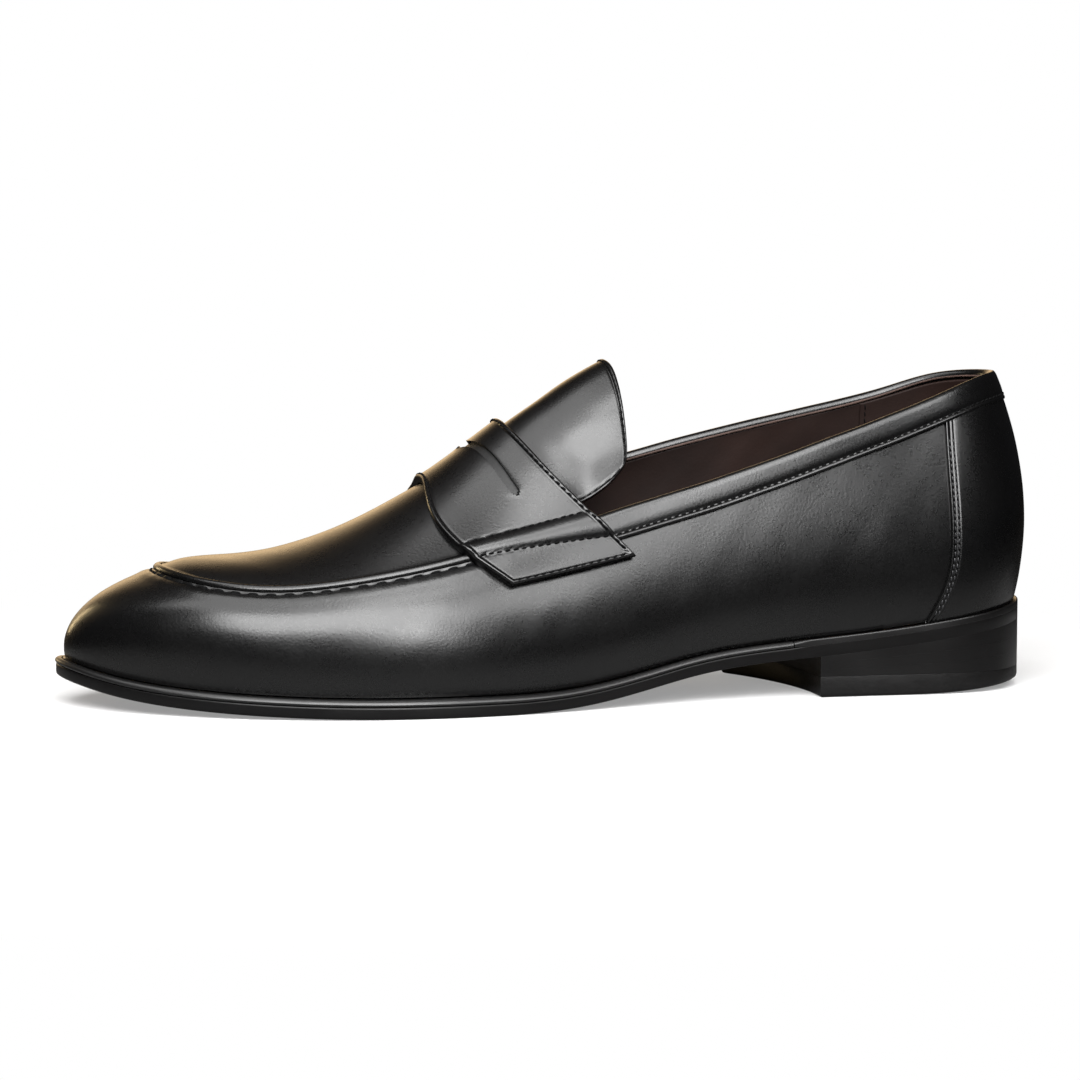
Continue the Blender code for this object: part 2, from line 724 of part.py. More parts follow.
def strap_points(across, along_share, lift):
    """Points on the strap: across 0 to 8 from outer to inner end, share 0 front to 1 rear."""
    front = spline(range(len(STRAP_FRONT)), STRAP_FRONT)(across)
    rear = spline(range(len(STRAP_REAR)), STRAP_REAR)(across)
    share = np.asarray(along_share, float).reshape(-1, 1)
    guesses = front * (1 - share) + rear * share
    ridge = EDGE(np.linspace(-PIPING_STATION - 1, PIPING_STATION + 1, 400))
    placed = []
    for guess, rearward in zip(guesses, share[:, 0]):
        spot, normal, _, _ = SURFACE.find_nearest(guess)
        near = np.min(np.linalg.norm(ridge - np.array(spot), axis=1))
        bump = STRAP_RIDGE * math.exp(-(near / STRAP_RIDGE_WIDTH) ** 2)
        rise = STRAP_LIFT + STRAP_REAR_LIFT * rearward + bump + lift
        placed.append(np.array(spot + normal * rise))
    return np.array(placed)


def saddle_strap():
    """Strap over the instep with the gull-wing slot cut through it."""
    across = np.linspace(0, 8, 29)
    shares = np.linspace(0, 1, 7)
    rows = [strap_points(across, np.full(29, share), STRAP_THICK) for share in shares]
    item = shell("saddle_strap", [np.array(rows)], 0, STRAP_THICK, BLACK_CALF)
    across = np.linspace(SLOT_REACH[0], SLOT_REACH[1], 13)
    centre = SLOT_MIDDLE + SLOT_BEND * ((across - 4) / 4) ** 2
    half = SLOT_HALF_WIDTH * (0.75 + 0.5 * np.exp(-((across - 4) / 0.5) ** 2))
    walls = []
    for lift in (-1.5, 4):
        walls.append([strap_points(across, centre - half, lift),
                      strap_points(across, centre + half, lift)])
    (low_front, low_rear), (high_front, high_rear) = walls
    ring = np.stack([low_front, low_rear, high_rear, high_front, low_front], axis=1)
    bm = bmesh.new()
    add_grid(bm, to_world(ring))
    bmesh.ops.remove_doubles(bm, verts=bm.verts, dist=2e-6)
    bmesh.ops.holes_fill(bm, edges=bm.edges, sides=4)
    bmesh.ops.recalc_face_normals(bm, faces=bm.faces)
    mesh = bpy.data.meshes.new("slot_cutter")
    bm.to_mesh(mesh)
    bm.free()
    cutter = bpy.data.objects.new("slot_cutter", mesh)
    hide_cutter(cutter)
    cut(item, cutter)
    return item


def tongue_grid():
    """Outer surface of the tongue, from just behind the strap to its round tip."""
    knots = np.linspace(0, 1, len(TONGUE_MIDDLE))
    middle = spline(knots, TONGUE_MIDDLE)
    outer = spline(knots, TONGUE_OUTER)
    inner = spline(knots, TONGUE_INNER)
    rows = []
    for share in np.linspace(0, 1, 8):
        crest = middle(share)[0]
        row = []
        for v in np.linspace(-1, 1, 13):
            side = (outer if v < 0 else inner)(share)[0]
            reach = abs(v)
            drop = (1 - ARCH_FULLNESS) * v ** 2 + ARCH_FULLNESS * v ** 4
            row.append(crest + (side - crest) * np.array([v ** 2, reach, drop]))
        rows.append(row)
    return np.array(rows)


def tongue_pieces(pivot):
    """Tongue and its lining, both hung from an empty on the flex line."""
    hinge = bpy.data.objects.new("tongue_hinge", None)
    hinge.location = to_world([pivot])[0]
    PARTS.objects.link(hinge)
    grid = tongue_grid()
    cover = shell("tongue", [grid], 0, UPPER_THICK, BLACK_CALF)
    lining = shell("tongue_lining", [grid], UPPER_THICK + GAP, LINING_THICK, BROWN_LINING)
    for item in (cover, lining):
        item.parent = hinge
        item.location = -hinge.location


def build():
    sole = outsole()
    welt()
    heel_rand()
    cork_filler()
    steel_shank()
    board = insole_board()
    sock_liner()
    heel_top_piece()
    lifts = heel_lifts()
    heel_nails([sole, board, *lifts])
    toe_puff()
    heel_counter()
    vamp_lining()
    side_lining("quarter_lining_lateral", 6.72, 9.85)
    side_lining("quarter_lining_medial", 14.15, 17.28)
    heel_lining()
    vamp_skirt()
    heel_foxing()
    apron()
    apron_piping()
    collar_binding()
    saddle_strap()
    tongue_pieces(TONGUE_MIDDLE[0])


clear_scene()
PARTS = new_collection("penny_loafer")
CUTTERS = new_collection("cutters")
SURFACE = outer_surface()
build()
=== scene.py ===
"""Looks of the left penny loafer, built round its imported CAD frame.

Shapes are worked out in millimetres of shoe space, as in the CAD source: s runs back from the
tip of the sole, v runs across towards the inner side and z runs up from the ground.
"""

import json
import math

import bmesh
import bpy
import numpy as np
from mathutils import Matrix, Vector
from mathutils.bvhtree import BVHTree


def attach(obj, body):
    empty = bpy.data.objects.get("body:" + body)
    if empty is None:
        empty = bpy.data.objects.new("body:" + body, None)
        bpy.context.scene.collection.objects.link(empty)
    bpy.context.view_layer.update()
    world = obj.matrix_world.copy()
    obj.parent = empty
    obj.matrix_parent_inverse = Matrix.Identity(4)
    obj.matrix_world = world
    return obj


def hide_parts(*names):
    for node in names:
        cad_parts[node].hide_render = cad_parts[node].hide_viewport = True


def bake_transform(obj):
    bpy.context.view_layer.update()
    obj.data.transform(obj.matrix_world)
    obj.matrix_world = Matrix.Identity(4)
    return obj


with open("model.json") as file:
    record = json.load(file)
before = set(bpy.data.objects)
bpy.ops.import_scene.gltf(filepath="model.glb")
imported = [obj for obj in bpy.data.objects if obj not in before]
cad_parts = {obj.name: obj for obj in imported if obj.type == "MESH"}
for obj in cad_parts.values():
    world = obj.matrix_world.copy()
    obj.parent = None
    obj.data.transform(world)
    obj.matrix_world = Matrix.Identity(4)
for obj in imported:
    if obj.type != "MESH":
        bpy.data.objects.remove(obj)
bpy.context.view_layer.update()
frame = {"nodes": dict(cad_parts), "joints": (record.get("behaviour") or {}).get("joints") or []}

MM = 0.001

# ---------------------------------------------------------------- driving shapes of the CAD
# (the tongue's outer edge alone lies up to 2.2 mm lower than in the CAD)

SOLE_OUTLINE = [
    (0, 4), (9, -15), (28, -31), (55, -44.5), (85, -52), (112, -53),
    (140, -48.3), (168, -41), (198, -35.5), (230, -33.3), (263, -33.3), (286, -25.5),
    (297, 0), (286, 25.5), (263, 33.3), (230, 31.5), (198, 28.2), (168, 30),
    (140, 38), (112, 46.5), (85, 49.2), (55, 44), (28, 33), (9, 20.5),
]
TOP_EDGE = [
    (30, 4, 39.4), (34.6, -12.3, 38.2), (45.6, -24.8, 36.3), (64, -33.2, 35.4), (88, -37.3, 38.2),
    (112, -37.2, 42.8), (136, -33.8, 48.8), (160, -30, 56.5), (192, -28.2, 65.6),
    (227, -27.2, 77.2), (257.5, -24.6, 88), (278.4, -17.5, 95.4), (289, 0, 97.3),
    (278.4, 17.5, 96.4), (258, 25.4, 90.2), (227, 27.2, 83.1), (192, 28.2, 74.8), (160, 30, 65),
    (136, 34.2, 54.4), (112, 38, 46), (88, 38.6, 40), (64, 35.6, 36.6), (45.6, 28.8, 36.9),
    (34.6, 19.3, 38.4),
]
WALL_HANDLES = [
    (2.4, 11.4, 17.4, 5.2), (2.2, 11.2, 15.8, 5.4), (1.9, 10.8, 13.6, 5.6), (2.5, 11, 11, 5.4),
    (3, 12, 10.5, 5.6), (4, 14, 10, 8), (5, 16, 8.5, 11.5), (6, 18, 6.5, 14),
    (7, 20, 4.5, 18), (7.5, 22, 4, 21), (7.5, 22, 5, 21), (6.6, 22, 9, 24),
    (5.2, 22, 11.2, 26), (6.6, 22, 9, 24), (7.5, 22, 5, 21), (6, 22, 4, 21),
    (5, 20, 4.5, 18), (4.5, 18, 7.5, 14), (4, 16, 8.5, 10.5), (3.5, 14, 10, 7.5),
    (3, 12, 10.5, 5.6), (2.5, 11, 11, 5.4), (1.8, 10.8, 13.6, 5.6), (1.6, 11.2, 16, 5.4),
]
SOLE_PROFILE = [
    (0, 8.5), (15, 4.9), (33, 2.4), (58, 0.8), (85, 0.05), (105, 0), (126, 0), (142, 0.6),
    (155, 2.1), (170, 5.0), (185, 8.2), (200, 10.3), (222, 12.2), (245, 14.4), (271, 17.8),
    (300, 21.8),
]
WELT_WIDTH = [(0, 2.9), (20, 3.6), (60, 4.2), (120, 4), (160, 2.8), (200, 2.2), (240, 1.9), (300, 1.5)]
CREST = [
    (30, 4, 39.4), (35.5, 3.9, 41.4), (43, 3.7, 42.5), (52, 3.4, 43), (64, 3.1, 44.5),
    (78, 2.8, 48.5), (92, 2.5, 54.4), (104, 2.3, 60.8), (115, 2.1, 67.2), (125, 2, 74.2),
    (136, 2, 82),
]
ARCH_STATIONS = [1.4, 2.05, 2.55, 3.05, 3.5, 4.08, 4.62, 5.17, 5.7, 6.25, 6.87]
ARCH_FULLNESS = 0.15
TOE_BLEND = 26
HEEL_STATION = 12
STATIONS = 24
PROFILE_END = 300

GAP = 0.3
OUTSOLE_THICK = 3.5
WELT_THICK = 1.7
WELT_INNER = 5.5
SOLE_STACK = OUTSOLE_THICK + GAP + WELT_THICK
INSOLE_THICK = 2.2
SOCK_THICK = 1
SOCK_INSET = 6.2
RAND_START = 8.55
RAND_END = 15.45
TOP_PIECE_THICK = 6
LIFTS = 3
BREAST_STATIONS = (8.8, 15.6)
BREAST_HOLLOW = 4.5
WAIST_START = 163
UPPER_THICK = 1.3
LINING_THICK = 0.9
SIDE_SEAM = [(0, 257), (0.15, 261.8), (0.4, 264), (0.7, 264), (1, 264.8)]

STRAP_FRONT = [
    (127.5, -43, 35.8), (115.6, -36.5, 44), (108, -25, 54.4), (107.8, -10, 62.6), (108.4, 2, 64),
    (106.6, 14, 61.4), (108.6, 29, 53), (117.5, 38, 45.5), (128.5, 41.5, 37.5),
]
STRAP_REAR = [
    (165.5, -38, 44), (152.5, -30.5, 57), (142.5, -23, 68.5), (135.8, -10, 77.5), (134, 2, 80.6),
    (135.8, 14, 77.8), (142.5, 26.5, 71), (152.5, 31, 62), (165, 36, 49),
]
STRAP_THICK = 2
STRAP_LIFT = 0.35
STRAP_REAR_LIFT = 0.6
SLOT_MIDDLE = 0.55
SLOT_BEND = 0.32
SLOT_REACH = (1.75, 5.9)

TONGUE_MIDDLE = [(136.6, 2, 82.8), (144.5, 2, 88.2), (154, 2.5, 94.6), (165.4, 3, 100.8)]
TONGUE_OUTER = [(154, -26.2, 59.8), (160, -25.6, 63.8), (166.5, -23.9, 71.2), (173.5, -18.4, 84)]
TONGUE_INNER = [(154, 27, 68.4), (160, 26.8, 71.6), (166.5, 26, 77.2), (173.5, 22.4, 85.2)]

FLEX = frame["joints"][0]
ORIGIN = np.array(TONGUE_MIDDLE[0], float) - np.array(FLEX["pos_m"], float) / MM
UP = np.array([0, 0, 1.0])


def spline(knots, values, period=None):
    """Curve through values at knots, smooth to its second derivative."""
    x = np.asarray(knots, float)
    y = np.asarray(values, float)
    y = y.reshape(len(x), -1)
    if period:
        x = np.append(x, x[0] + period)
        y = np.vstack([y, y[:1]])
    step = np.diff(x)
    slope = np.diff(y, axis=0) / step[:, None]
    count = len(x)
    matrix = np.eye(count)
    right = np.zeros_like(y)
    for i in range(1, count - 1):
        matrix[i, i - 1:i + 2] = step[i - 1] / 6, (step[i - 1] + step[i]) / 3, step[i] / 6
        right[i] = slope[i] - slope[i - 1]
    if period:
        matrix[0, [0, 1, -2]] = (step[-1] + step[0]) / 3, step[0] / 6, step[-1] / 6
        right[0] = slope[0] - slope[-1]
        matrix[-1, [0, -1]] = -1, 1
    bend = np.linalg.solve(matrix, right)

    def at(t):
        t = np.atleast_1d(np.asarray(t, float))
        if period:
            t = (t - x[0]) % period + x[0]
        i = np.clip(np.searchsorted(x, t, side="right") - 1, 0, count - 2)
        h = step[i][:, None]
        a = (x[i + 1][:, None] - t[:, None]) / h
        b = 1 - a
        curve = (a ** 3 - a) * bend[i] + (b ** 3 - b) * bend[i + 1]
        return a * y[i] + b * y[i + 1] + curve * h ** 2 / 6

    return at


def loop(values):
    return spline(range(len(values)), values, period=len(values))


def along(table):
    table = np.asarray(table, float)
    return spline(table[:, 0], table[:, 1:])


OUTLINE = loop(SOLE_OUTLINE)
EDGE = loop(TOP_EDGE)
HANDLES = loop(WALL_HANDLES)
PROFILE = along(SOLE_PROFILE)
WIDTH = along(WELT_WIDTH)
CREST_AT = along(CREST)
ARCH_AT = spline([row[0] for row in CREST], ARCH_STATIONS)
SEAM = along(SIDE_SEAM)
STRAP_FRONT_AT = spline(range(9), STRAP_FRONT)
STRAP_REAR_AT = spline(range(9), STRAP_REAR)


def sole_low(s):
    """Height of the sole's underside above the ground."""
    return np.maximum(PROFILE(np.clip(np.ravel(s), 0, PROFILE_END))[:, 0], 0).reshape(np.shape(s))


def unit(vectors):
    return vectors / np.linalg.norm(vectors, axis=-1)[..., None]


def outward(t):
    """Horizontal direction out of the shoe at each station."""
    step = 0.01
    run = OUTLINE(np.asarray(t) + step) - OUTLINE(np.asarray(t) - step)
    return unit(np.stack([run[:, 1], -run[:, 0]], axis=1))


def sideways(t):
    """The same direction with a height of zero added."""
    return np.column_stack([outward(t), np.zeros(len(t))])


def welt_width(edge):
    """Width of the welt at points of the sole's outline."""
    return WIDTH(np.clip(edge[:, 0], 0, PROFILE_END))


def featherline(t):
    """Line where the upper meets the welt."""
    edge = OUTLINE(t)
    plan = edge - outward(t) * welt_width(edge)
    z = sole_low(plan[:, 0]) + SOLE_STACK + GAP
    return np.column_stack([plan, z])


def wall(t, w):
    """Outer surface of the side leather: w is 0 at the welt and 1 at the upper edge."""
    t, w = np.broadcast_arrays(np.atleast_1d(t).astype(float), np.atleast_1d(w).astype(float))
    shape = t.shape
    t = t.ravel()
    w = w.ravel()[:, None]
    low = featherline(t)
    high = EDGE(t)
    side = sideways(t)
    reach = HANDLES(t)
    low_handle = low + side * reach[:, 0:1] + UP * reach[:, 1:2]
    high_handle = high + side * reach[:, 2:3] - UP * reach[:, 3:4]
    point = ((1 - w) ** 3 * low + 3 * (1 - w) ** 2 * w * low_handle
             + 3 * (1 - w) * w ** 2 * high_handle + w ** 3 * high)
    return point.reshape(shape + (3,))


def instep_arch(c, v):
    station = ARCH_AT(c)[:, 0]
    side = np.where((v < 0)[:, None], EDGE(station), EDGE(-station))
    middle = CREST_AT(c)
    across = np.abs(v)
    drop = (1 - ARCH_FULLNESS) * across ** 2 + ARCH_FULLNESS * across ** 4
    s = c + (side[:, 0] - c) * across ** 2
    y = middle[:, 0] + (side[:, 1] - middle[:, 0]) * across
    z = middle[:, 1] + (side[:, 2] - middle[:, 1]) * drop
    return np.column_stack([s, y, z])


def instep(c, v):
    """Outer surface over the toe and instep: c is s on the middle line, v runs -1 to 1."""
    c, v = np.broadcast_arrays(np.atleast_1d(c).astype(float), np.atleast_1d(v).astype(float))
    shape = c.shape
    c = c.ravel()
    v = v.ravel()
    point = instep_arch(c, v)
    toe = np.full(len(c), float(CREST[0][0]))
    fade = np.clip(1 - (c - toe) / TOE_BLEND, 0, 1) ** 2
    true_front = EDGE(-v * ARCH_STATIONS[0])
    point = point + (true_front - instep_arch(toe, v)) * fade[:, None]
    return point.reshape(shape + (3,))


def to_world(points):
    return (np.asarray(points, float) - ORIGIN) * MM


# ---------------------------------------------------------------- grid and mesh helpers

def smooth(value, low, high):
    """0 below low, 1 above high, and an even ease between them."""
    x = np.clip((value - low) / (high - low), 0, 1)
    return x * x * (3 - 2 * x)


def hump(value, centre, width):
    return np.exp(-((value - centre) / width) ** 2)


def rolled(distance, radius):
    """Drop of a rounded edge at each distance in from it."""
    if radius <= 0:
        return np.zeros_like(distance)
    x = np.clip(distance / radius, 0, 1)
    return radius * (1 - np.sqrt(np.clip(1 - (1 - x) ** 2, 0, 1)))


def path_lengths(points):
    """Length along a line of points, from its first one."""
    return np.append(0, np.cumsum(np.linalg.norm(np.diff(points, axis=0), axis=1)))


def interpolated(place, run, rows):
    """Each column of rows at a place along run."""
    return np.array([np.interp(place, run, column) for column in rows.T])


def resampled(values, count):
    return np.interp(np.linspace(0, 1, count), np.linspace(0, 1, len(values)), values)


def runs(grid, axis):
    """Length along each line of a grid, from its first point."""
    step = np.linalg.norm(np.diff(grid, axis=axis), axis=2)
    total = np.cumsum(step, axis=axis)
    pad = [(0, 0), (0, 0)]
    pad[axis] = (1, 0)
    return np.pad(total, pad)


def border_distances(grid):
    """Distance of every point from the first row, last row, first column and last column."""
    down = runs(grid, 0)
    across = runs(grid, 1)
    return down, down[-1:] - down, across, across[:, -1:] - across


def normals(grid, inside):
    """Unit normals of a grid, pointing away from the point inside."""
    made = np.cross(np.gradient(grid, axis=0), np.gradient(grid, axis=1))
    made = made / np.maximum(np.linalg.norm(made, axis=2), 1e-9)[..., None]
    if np.sum(made * (grid - np.asarray(inside, float))) < 0:
        made = -made
    return made


FINE_STEPS = np.array([0, 0.07, 0.18, 0.34, 0.55, 0.8, 1.1, 1.45])


def spaced(length, step, low=True, high=True, reach=0.0, fine=0.3):
    """Shares 0 to 1 along a length: rounded-edge steps at the ends and fine steps within reach."""
    first = np.unique(np.concatenate([FINE_STEPS, np.arange(1.45, max(reach, 1.46), fine)]))
    start = first if low else np.array([0.0])
    end = length - (first if high else np.array([0.0]))
    middle = np.linspace(start[-1], end[-1], max(2, int(math.ceil((end[-1] - start[-1]) / step)) + 1))
    return np.concatenate([start[:-1], middle, end[::-1][1:]]) / length


def make_object(name, verts, faces, materials, body="shoe", smooth_angle=50):
    """Mesh object from points in shoe space, with its normals turned outward."""
    mesh = bpy.data.meshes.new(name)
    mesh.from_pydata(to_world(verts).tolist(), [], [list(f) for f in faces])
    for item in materials:
        mesh.materials.append(item)
    bm = bmesh.new()
    bm.from_mesh(mesh)
    bmesh.ops.remove_doubles(bm, verts=bm.verts, dist=1e-7)
    bmesh.ops.dissolve_degenerate(bm, edges=bm.edges, dist=1e-7)
    bmesh.ops.recalc_face_normals(bm, faces=bm.faces)
    bm.to_mesh(mesh)
    bm.free()
    mesh.shade_smooth()
    mesh.set_sharp_from_angle(angle=math.radians(smooth_angle))
    item = bpy.data.objects.new(name, mesh)
    bpy.context.scene.collection.objects.link(item)
    if body:
        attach(item, body)
    return item


def quads(rows, columns, base=0):
    i = np.arange(rows - 1)[:, None] * columns
    j = np.arange(columns - 1)[None, :]
    a = (i + j).ravel() + base
    return np.column_stack([a, a + columns, a + columns + 1, a + 1])


def shell_faces(rows, columns):
    """Faces of a closed sheet: outer grid, then inner grid, then the four rims."""
    count = rows * columns
    index = np.arange(count).reshape(rows, columns)
    rims = []
    for line in (index[0], index[-1][::-1], index[:, 0][::-1], index[:, -1]):
        rims.append(np.column_stack([line[:-1], line[1:], line[1:] + count, line[:-1] + count]))
    outer = quads(rows, columns)
    inner = quads(rows, columns, count)[:, ::-1]
    return np.vstack([outer, inner] + rims)


def sheet_points(grid, inside, relief=0.0, roll=(0, 0, 0, 0)):
    """Outer surface of a piece of leather with its relief and rounded edges, and its normals."""
    normal = normals(grid, inside)
    drop = sum(rolled(d, r) for d, r in zip(border_distances(grid), roll))
    height = np.broadcast_to(relief, grid.shape[:2]) - np.minimum(drop, max(max(roll), 0.0))
    return grid + normal * height[..., None], normal


def leather(name, grid, thickness, surface, inside=(150, 2, 25), relief=0.0, roll=(0, 0, 0, 0),
            body="shoe"):
    """Closed sheet of leather under a surface grid."""
    outer, normal = sheet_points(grid, inside, relief, roll)
    inner = grid - normal * thickness
    rows, columns = grid.shape[:2]
    verts = np.concatenate([outer.reshape(-1, 3), inner.reshape(-1, 3)])
    item = make_object(name, verts, shell_faces(rows, columns), [surface], body)
    return item, outer, normal


def sweep(name, sections, surface, closed=False, angle=50):
    """Solid bar through closed cross-sections, one row of points for each."""
    rows, columns = sections.shape[:2]
    index = np.arange(rows * columns).reshape(rows, columns)
    if closed:
        index = np.vstack([index, index[:1]])
    wrapped = np.column_stack([index, index[:, 0]])
    faces = [(wrapped[i, j], wrapped[i + 1, j], wrapped[i + 1, j + 1], wrapped[i, j + 1])
             for i in range(len(wrapped) - 1) for j in range(columns)]
    if not closed:
        faces += [tuple(index[0]), tuple(index[-1][::-1])]
    return make_object(name, sections.reshape(-1, 3), faces, [surface], "shoe", angle)


def line_at(outer, normal, axis, distance, from_end=False):
    """Points and normals at a distance in from one border, along the other direction."""
    if axis == 0:
        outer, normal = outer.transpose(1, 0, 2), normal.transpose(1, 0, 2)
    if from_end:
        outer, normal = outer[:, ::-1], normal[:, ::-1]
    run = runs(outer, 1)
    points = [interpolated(distance, r, row) for r, row in zip(run, outer)]
    ways = [interpolated(distance, r, row) for r, row in zip(run, normal)]
    return np.array(points), unit(np.array(ways))


def stitch_mesh(lines, pitch, length, radius, rise, slant=7.0, phase=0.5, flat=1.0):
    """Vertices and faces of thread stitches along lines of (points, normals)."""
    steps = np.array([-0.5, -0.44, -0.3, -0.1, 0.1, 0.3, 0.44, 0.5])
    swell = np.array([0.35, 0.72, 0.95, 1, 1, 0.95, 0.72, 0.35])
    height = rise * (1 - (2 * steps) ** 4) - radius * 0.35
    sides = 6
    ring = np.arange(sides) / sides * 2 * math.pi
    turn = math.radians(slant)
    verts, faces = [], []
    for points, ways in lines:
        run = path_lengths(points)
        for k in range(int(run[-1] / pitch)):
            centre = (k + phase) * pitch
            spot = interpolated(centre, run, points)
            up = unit(interpolated(centre, run, ways))
            way = (interpolated(centre + length / 2, run, points)
                   - interpolated(centre - length / 2, run, points))
            size = np.linalg.norm(way)
            if size < length * 0.5:
                continue
            way = way / size
            side = np.cross(up, way)
            way, side = (way * math.cos(turn) + side * math.sin(turn),
                         side * math.cos(turn) - way * math.sin(turn))
            base = len(verts)
            for x, r, h in zip(steps, swell, height):
                middle = spot + way * x * length + up * h
                verts += [middle + (side * math.cos(a) + up * math.sin(a) * flat) * r * radius
                          for a in ring]
            last = len(verts) - sides
            for i in range(base, last, sides):
                for j in range(sides):
                    after = (j + 1) % sides
                    faces.append((i + j, i + after, i + after + sides, i + j + sides))
            faces.append(tuple(range(base, base + sides))[::-1])
            faces.append(tuple(range(last, last + sides)))
    return np.array(verts), faces


def stitches(name, lines, pitch, surface, length=None, radius=0.24, rise=0.16, body="shoe", **more):
    verts, faces = stitch_mesh(lines, pitch, length or pitch * 0.8, radius, rise, **more)
    item = make_object(name, verts, faces, [surface], body, 180)
    return item


def waver(points, amount):
    """Slight unevenness of hand-worked leather, the same on every run."""
    s, v, z = points[..., 0], points[..., 1], points[..., 2]
    value = (np.sin(s * 0.21 + z * 0.13 + 0.7) + np.sin(s * 0.117 - v * 0.19 + z * 0.231 + 2.1)
             + 0.7 * np.sin(s * 0.37 + v * 0.31 - z * 0.27 + 4.0)
             + 0.5 * np.sin(s * 0.53 - z * 0.49 + v * 0.44))
    return value * amount / 2


# ---------------------------------------------------------------- materials

def srgb(red, green, blue):
    def linear(value):
        value = value / 255
        return value / 12.92 if value <= 0.04045 else ((value + 0.055) / 1.055) ** 2.4
    return (linear(red), linear(green), linear(blue))


class Finish:
    """Small helper that wires a procedural material."""

    def __init__(self, name):
        self.material = bpy.data.materials.new(name)
        self.material.use_nodes = True
        self.nodes = self.material.node_tree.nodes
        self.links = self.material.node_tree.links
        self.shader = self.nodes["Principled BSDF"]
        self.place = self.nodes.new("ShaderNodeTexCoord").outputs["Object"]

    def set(self, **values):
        for key, value in values.items():
            self.shader.inputs[key.replace("_", " ")].default_value = value

    def stretch(self, scale):
        node = self.nodes.new("ShaderNodeMapping")
        node.inputs["Scale"].default_value = scale
        self.links.new(self.place, node.inputs["Vector"])
        return node.outputs["Vector"]

    def noise(self, scale, detail=3.0, rough=0.55, vector=None):
        node = self.nodes.new("ShaderNodeTexNoise")
        node.inputs["Scale"].default_value = scale
        node.inputs["Detail"].default_value = detail
        node.inputs["Roughness"].default_value = rough
        self.links.new(vector or self.place, node.inputs["Vector"])
        return node.outputs["Fac"]

    def cells(self, scale):
        node = self.nodes.new("ShaderNodeTexVoronoi")
        node.feature = "SMOOTH_F1"
        node.inputs["Scale"].default_value = scale
        self.links.new(self.place, node.inputs["Vector"])
        return node.outputs["Distance"]

    def math(self, operation, a, b):
        node = self.nodes.new("ShaderNodeMath")
        node.operation = operation
        for socket, value in zip(node.inputs, (a, b)):
            if isinstance(value, (int, float)):
                socket.default_value = value
            else:
                self.links.new(value, socket)
        return node.outputs["Value"]

    def span(self, value, low, high, from_low=0.3, from_high=0.7):
        node = self.nodes.new("ShaderNodeMapRange")
        node.inputs["From Min"].default_value = from_low
        node.inputs["From Max"].default_value = from_high
        node.inputs["To Min"].default_value = low
        node.inputs["To Max"].default_value = high
        self.links.new(value, node.inputs["Value"])
        return node.outputs["Result"]

    def colours(self, value, stops):
        node = self.nodes.new("ShaderNodeValToRGB")
        ramp = node.color_ramp
        while len(ramp.elements) < len(stops):
            ramp.elements.new(0.5)
        for element, (position, colour) in zip(ramp.elements, stops):
            element.position = position
            element.color = (*colour, 1)
        self.links.new(value, node.inputs["Fac"])
        self.links.new(node.outputs["Color"], self.shader.inputs["Base Color"])

    def roughness(self, value):
        self.links.new(value, self.shader.inputs["Roughness"])

    def bump(self, layers):
        """Height layers as (value, depth in metres, strength), from coarse to fine."""
        normal = None
        for value, depth, strength in layers:
            node = self.nodes.new("ShaderNodeBump")
            node.inputs["Distance"].default_value = depth
            node.inputs["Strength"].default_value = strength
            self.links.new(value, node.inputs["Height"])
            if normal is not None:
                self.links.new(normal, node.inputs["Normal"])
            normal = node.outputs["Normal"]
        self.links.new(normal, self.shader.inputs["Normal"])


def calf(name, dark, light, rough, grain, polish=0.1, pores=1400.0, shine=0.5):
    """Smooth box calf: fine pebbled grain, scattered pores and a polished top."""
    made = Finish(name)
    tone = made.noise(28, 4)
    made.colours(tone, [(0.3, dark), (0.7, light)])
    cloud = made.noise(75, 3)
    fine = made.noise(900, 2)
    made.roughness(made.math("ADD", made.span(cloud, rough - 0.02, rough + 0.025),
                             made.span(fine, -0.02, 0.02)))
    pebble = made.noise(pores, 1, 0.4)
    made.bump([(made.noise(160, 3), 0.0002, 0.012), (pebble, 0.0001, grain),
               (made.noise(4200, 2), 0.00002, grain * 0.4)])
    made.set(Coat_Weight=polish, Coat_Roughness=0.2, Specular_IOR_Level=shine)
    return made.material


def plain_noise(name, dark, light, rough, scale, depth, strength=0.4, **values):
    made = Finish(name)
    made.colours(made.noise(scale * 0.25, 4), [(0.25, dark), (0.75, light)])
    made.roughness(made.span(made.noise(scale, 3), rough - 0.07, rough + 0.07))
    made.bump([(made.noise(scale * 2, 4), depth, strength)])
    made.set(**values)
    return made.material


BLACK_CALF = calf("black_calf", (0.0011, 0.0011, 0.0012), (0.0021, 0.0020, 0.0020), 0.285, 0.33)
TRIM_CALF = calf("trim_calf", (0.0011, 0.0011, 0.0012), (0.0020, 0.0019, 0.0019), 0.28, 0.3, 0.12)
# Darker, duller copy of the strap's calf for the floor of the slot: painted shade in the recess.
SLOT_FLOOR_SHADE = calf("slot_floor_painted_shade", (0.0008, 0.0008, 0.0009), (0.0014, 0.0013, 0.0013), 0.5, 0.6, 0.0)
LINING = calf("lining_leather", srgb(18, 10, 8), srgb(34, 21, 17), 0.62, 0.5, 0.0, 1200.0, 0.2)
SOCK = calf("sock_leather", srgb(52, 29, 22), srgb(88, 52, 39), 0.55, 0.45, 0.02, 800.0)
CUT_EDGE = plain_noise("cut_edge", srgb(54, 38, 32), srgb(76, 56, 48), 0.75, 900, 0.00008)
# Black thread for the heel stitches, glossier than the rest; its lighter grey colour is painted sheen.
THREAD_PAINTED_SHEEN = plain_noise("thread_painted_sheen", (0.010, 0.010, 0.011), (0.024, 0.024, 0.026), 0.4, 2600,
                           0.00006, 0.6)
THREAD = plain_noise("black_thread", (0.0012, 0.0012, 0.0013), (0.003, 0.003, 0.0032), 0.75, 2600,
                     0.00006, 0.6, Specular_IOR_Level=0.08)


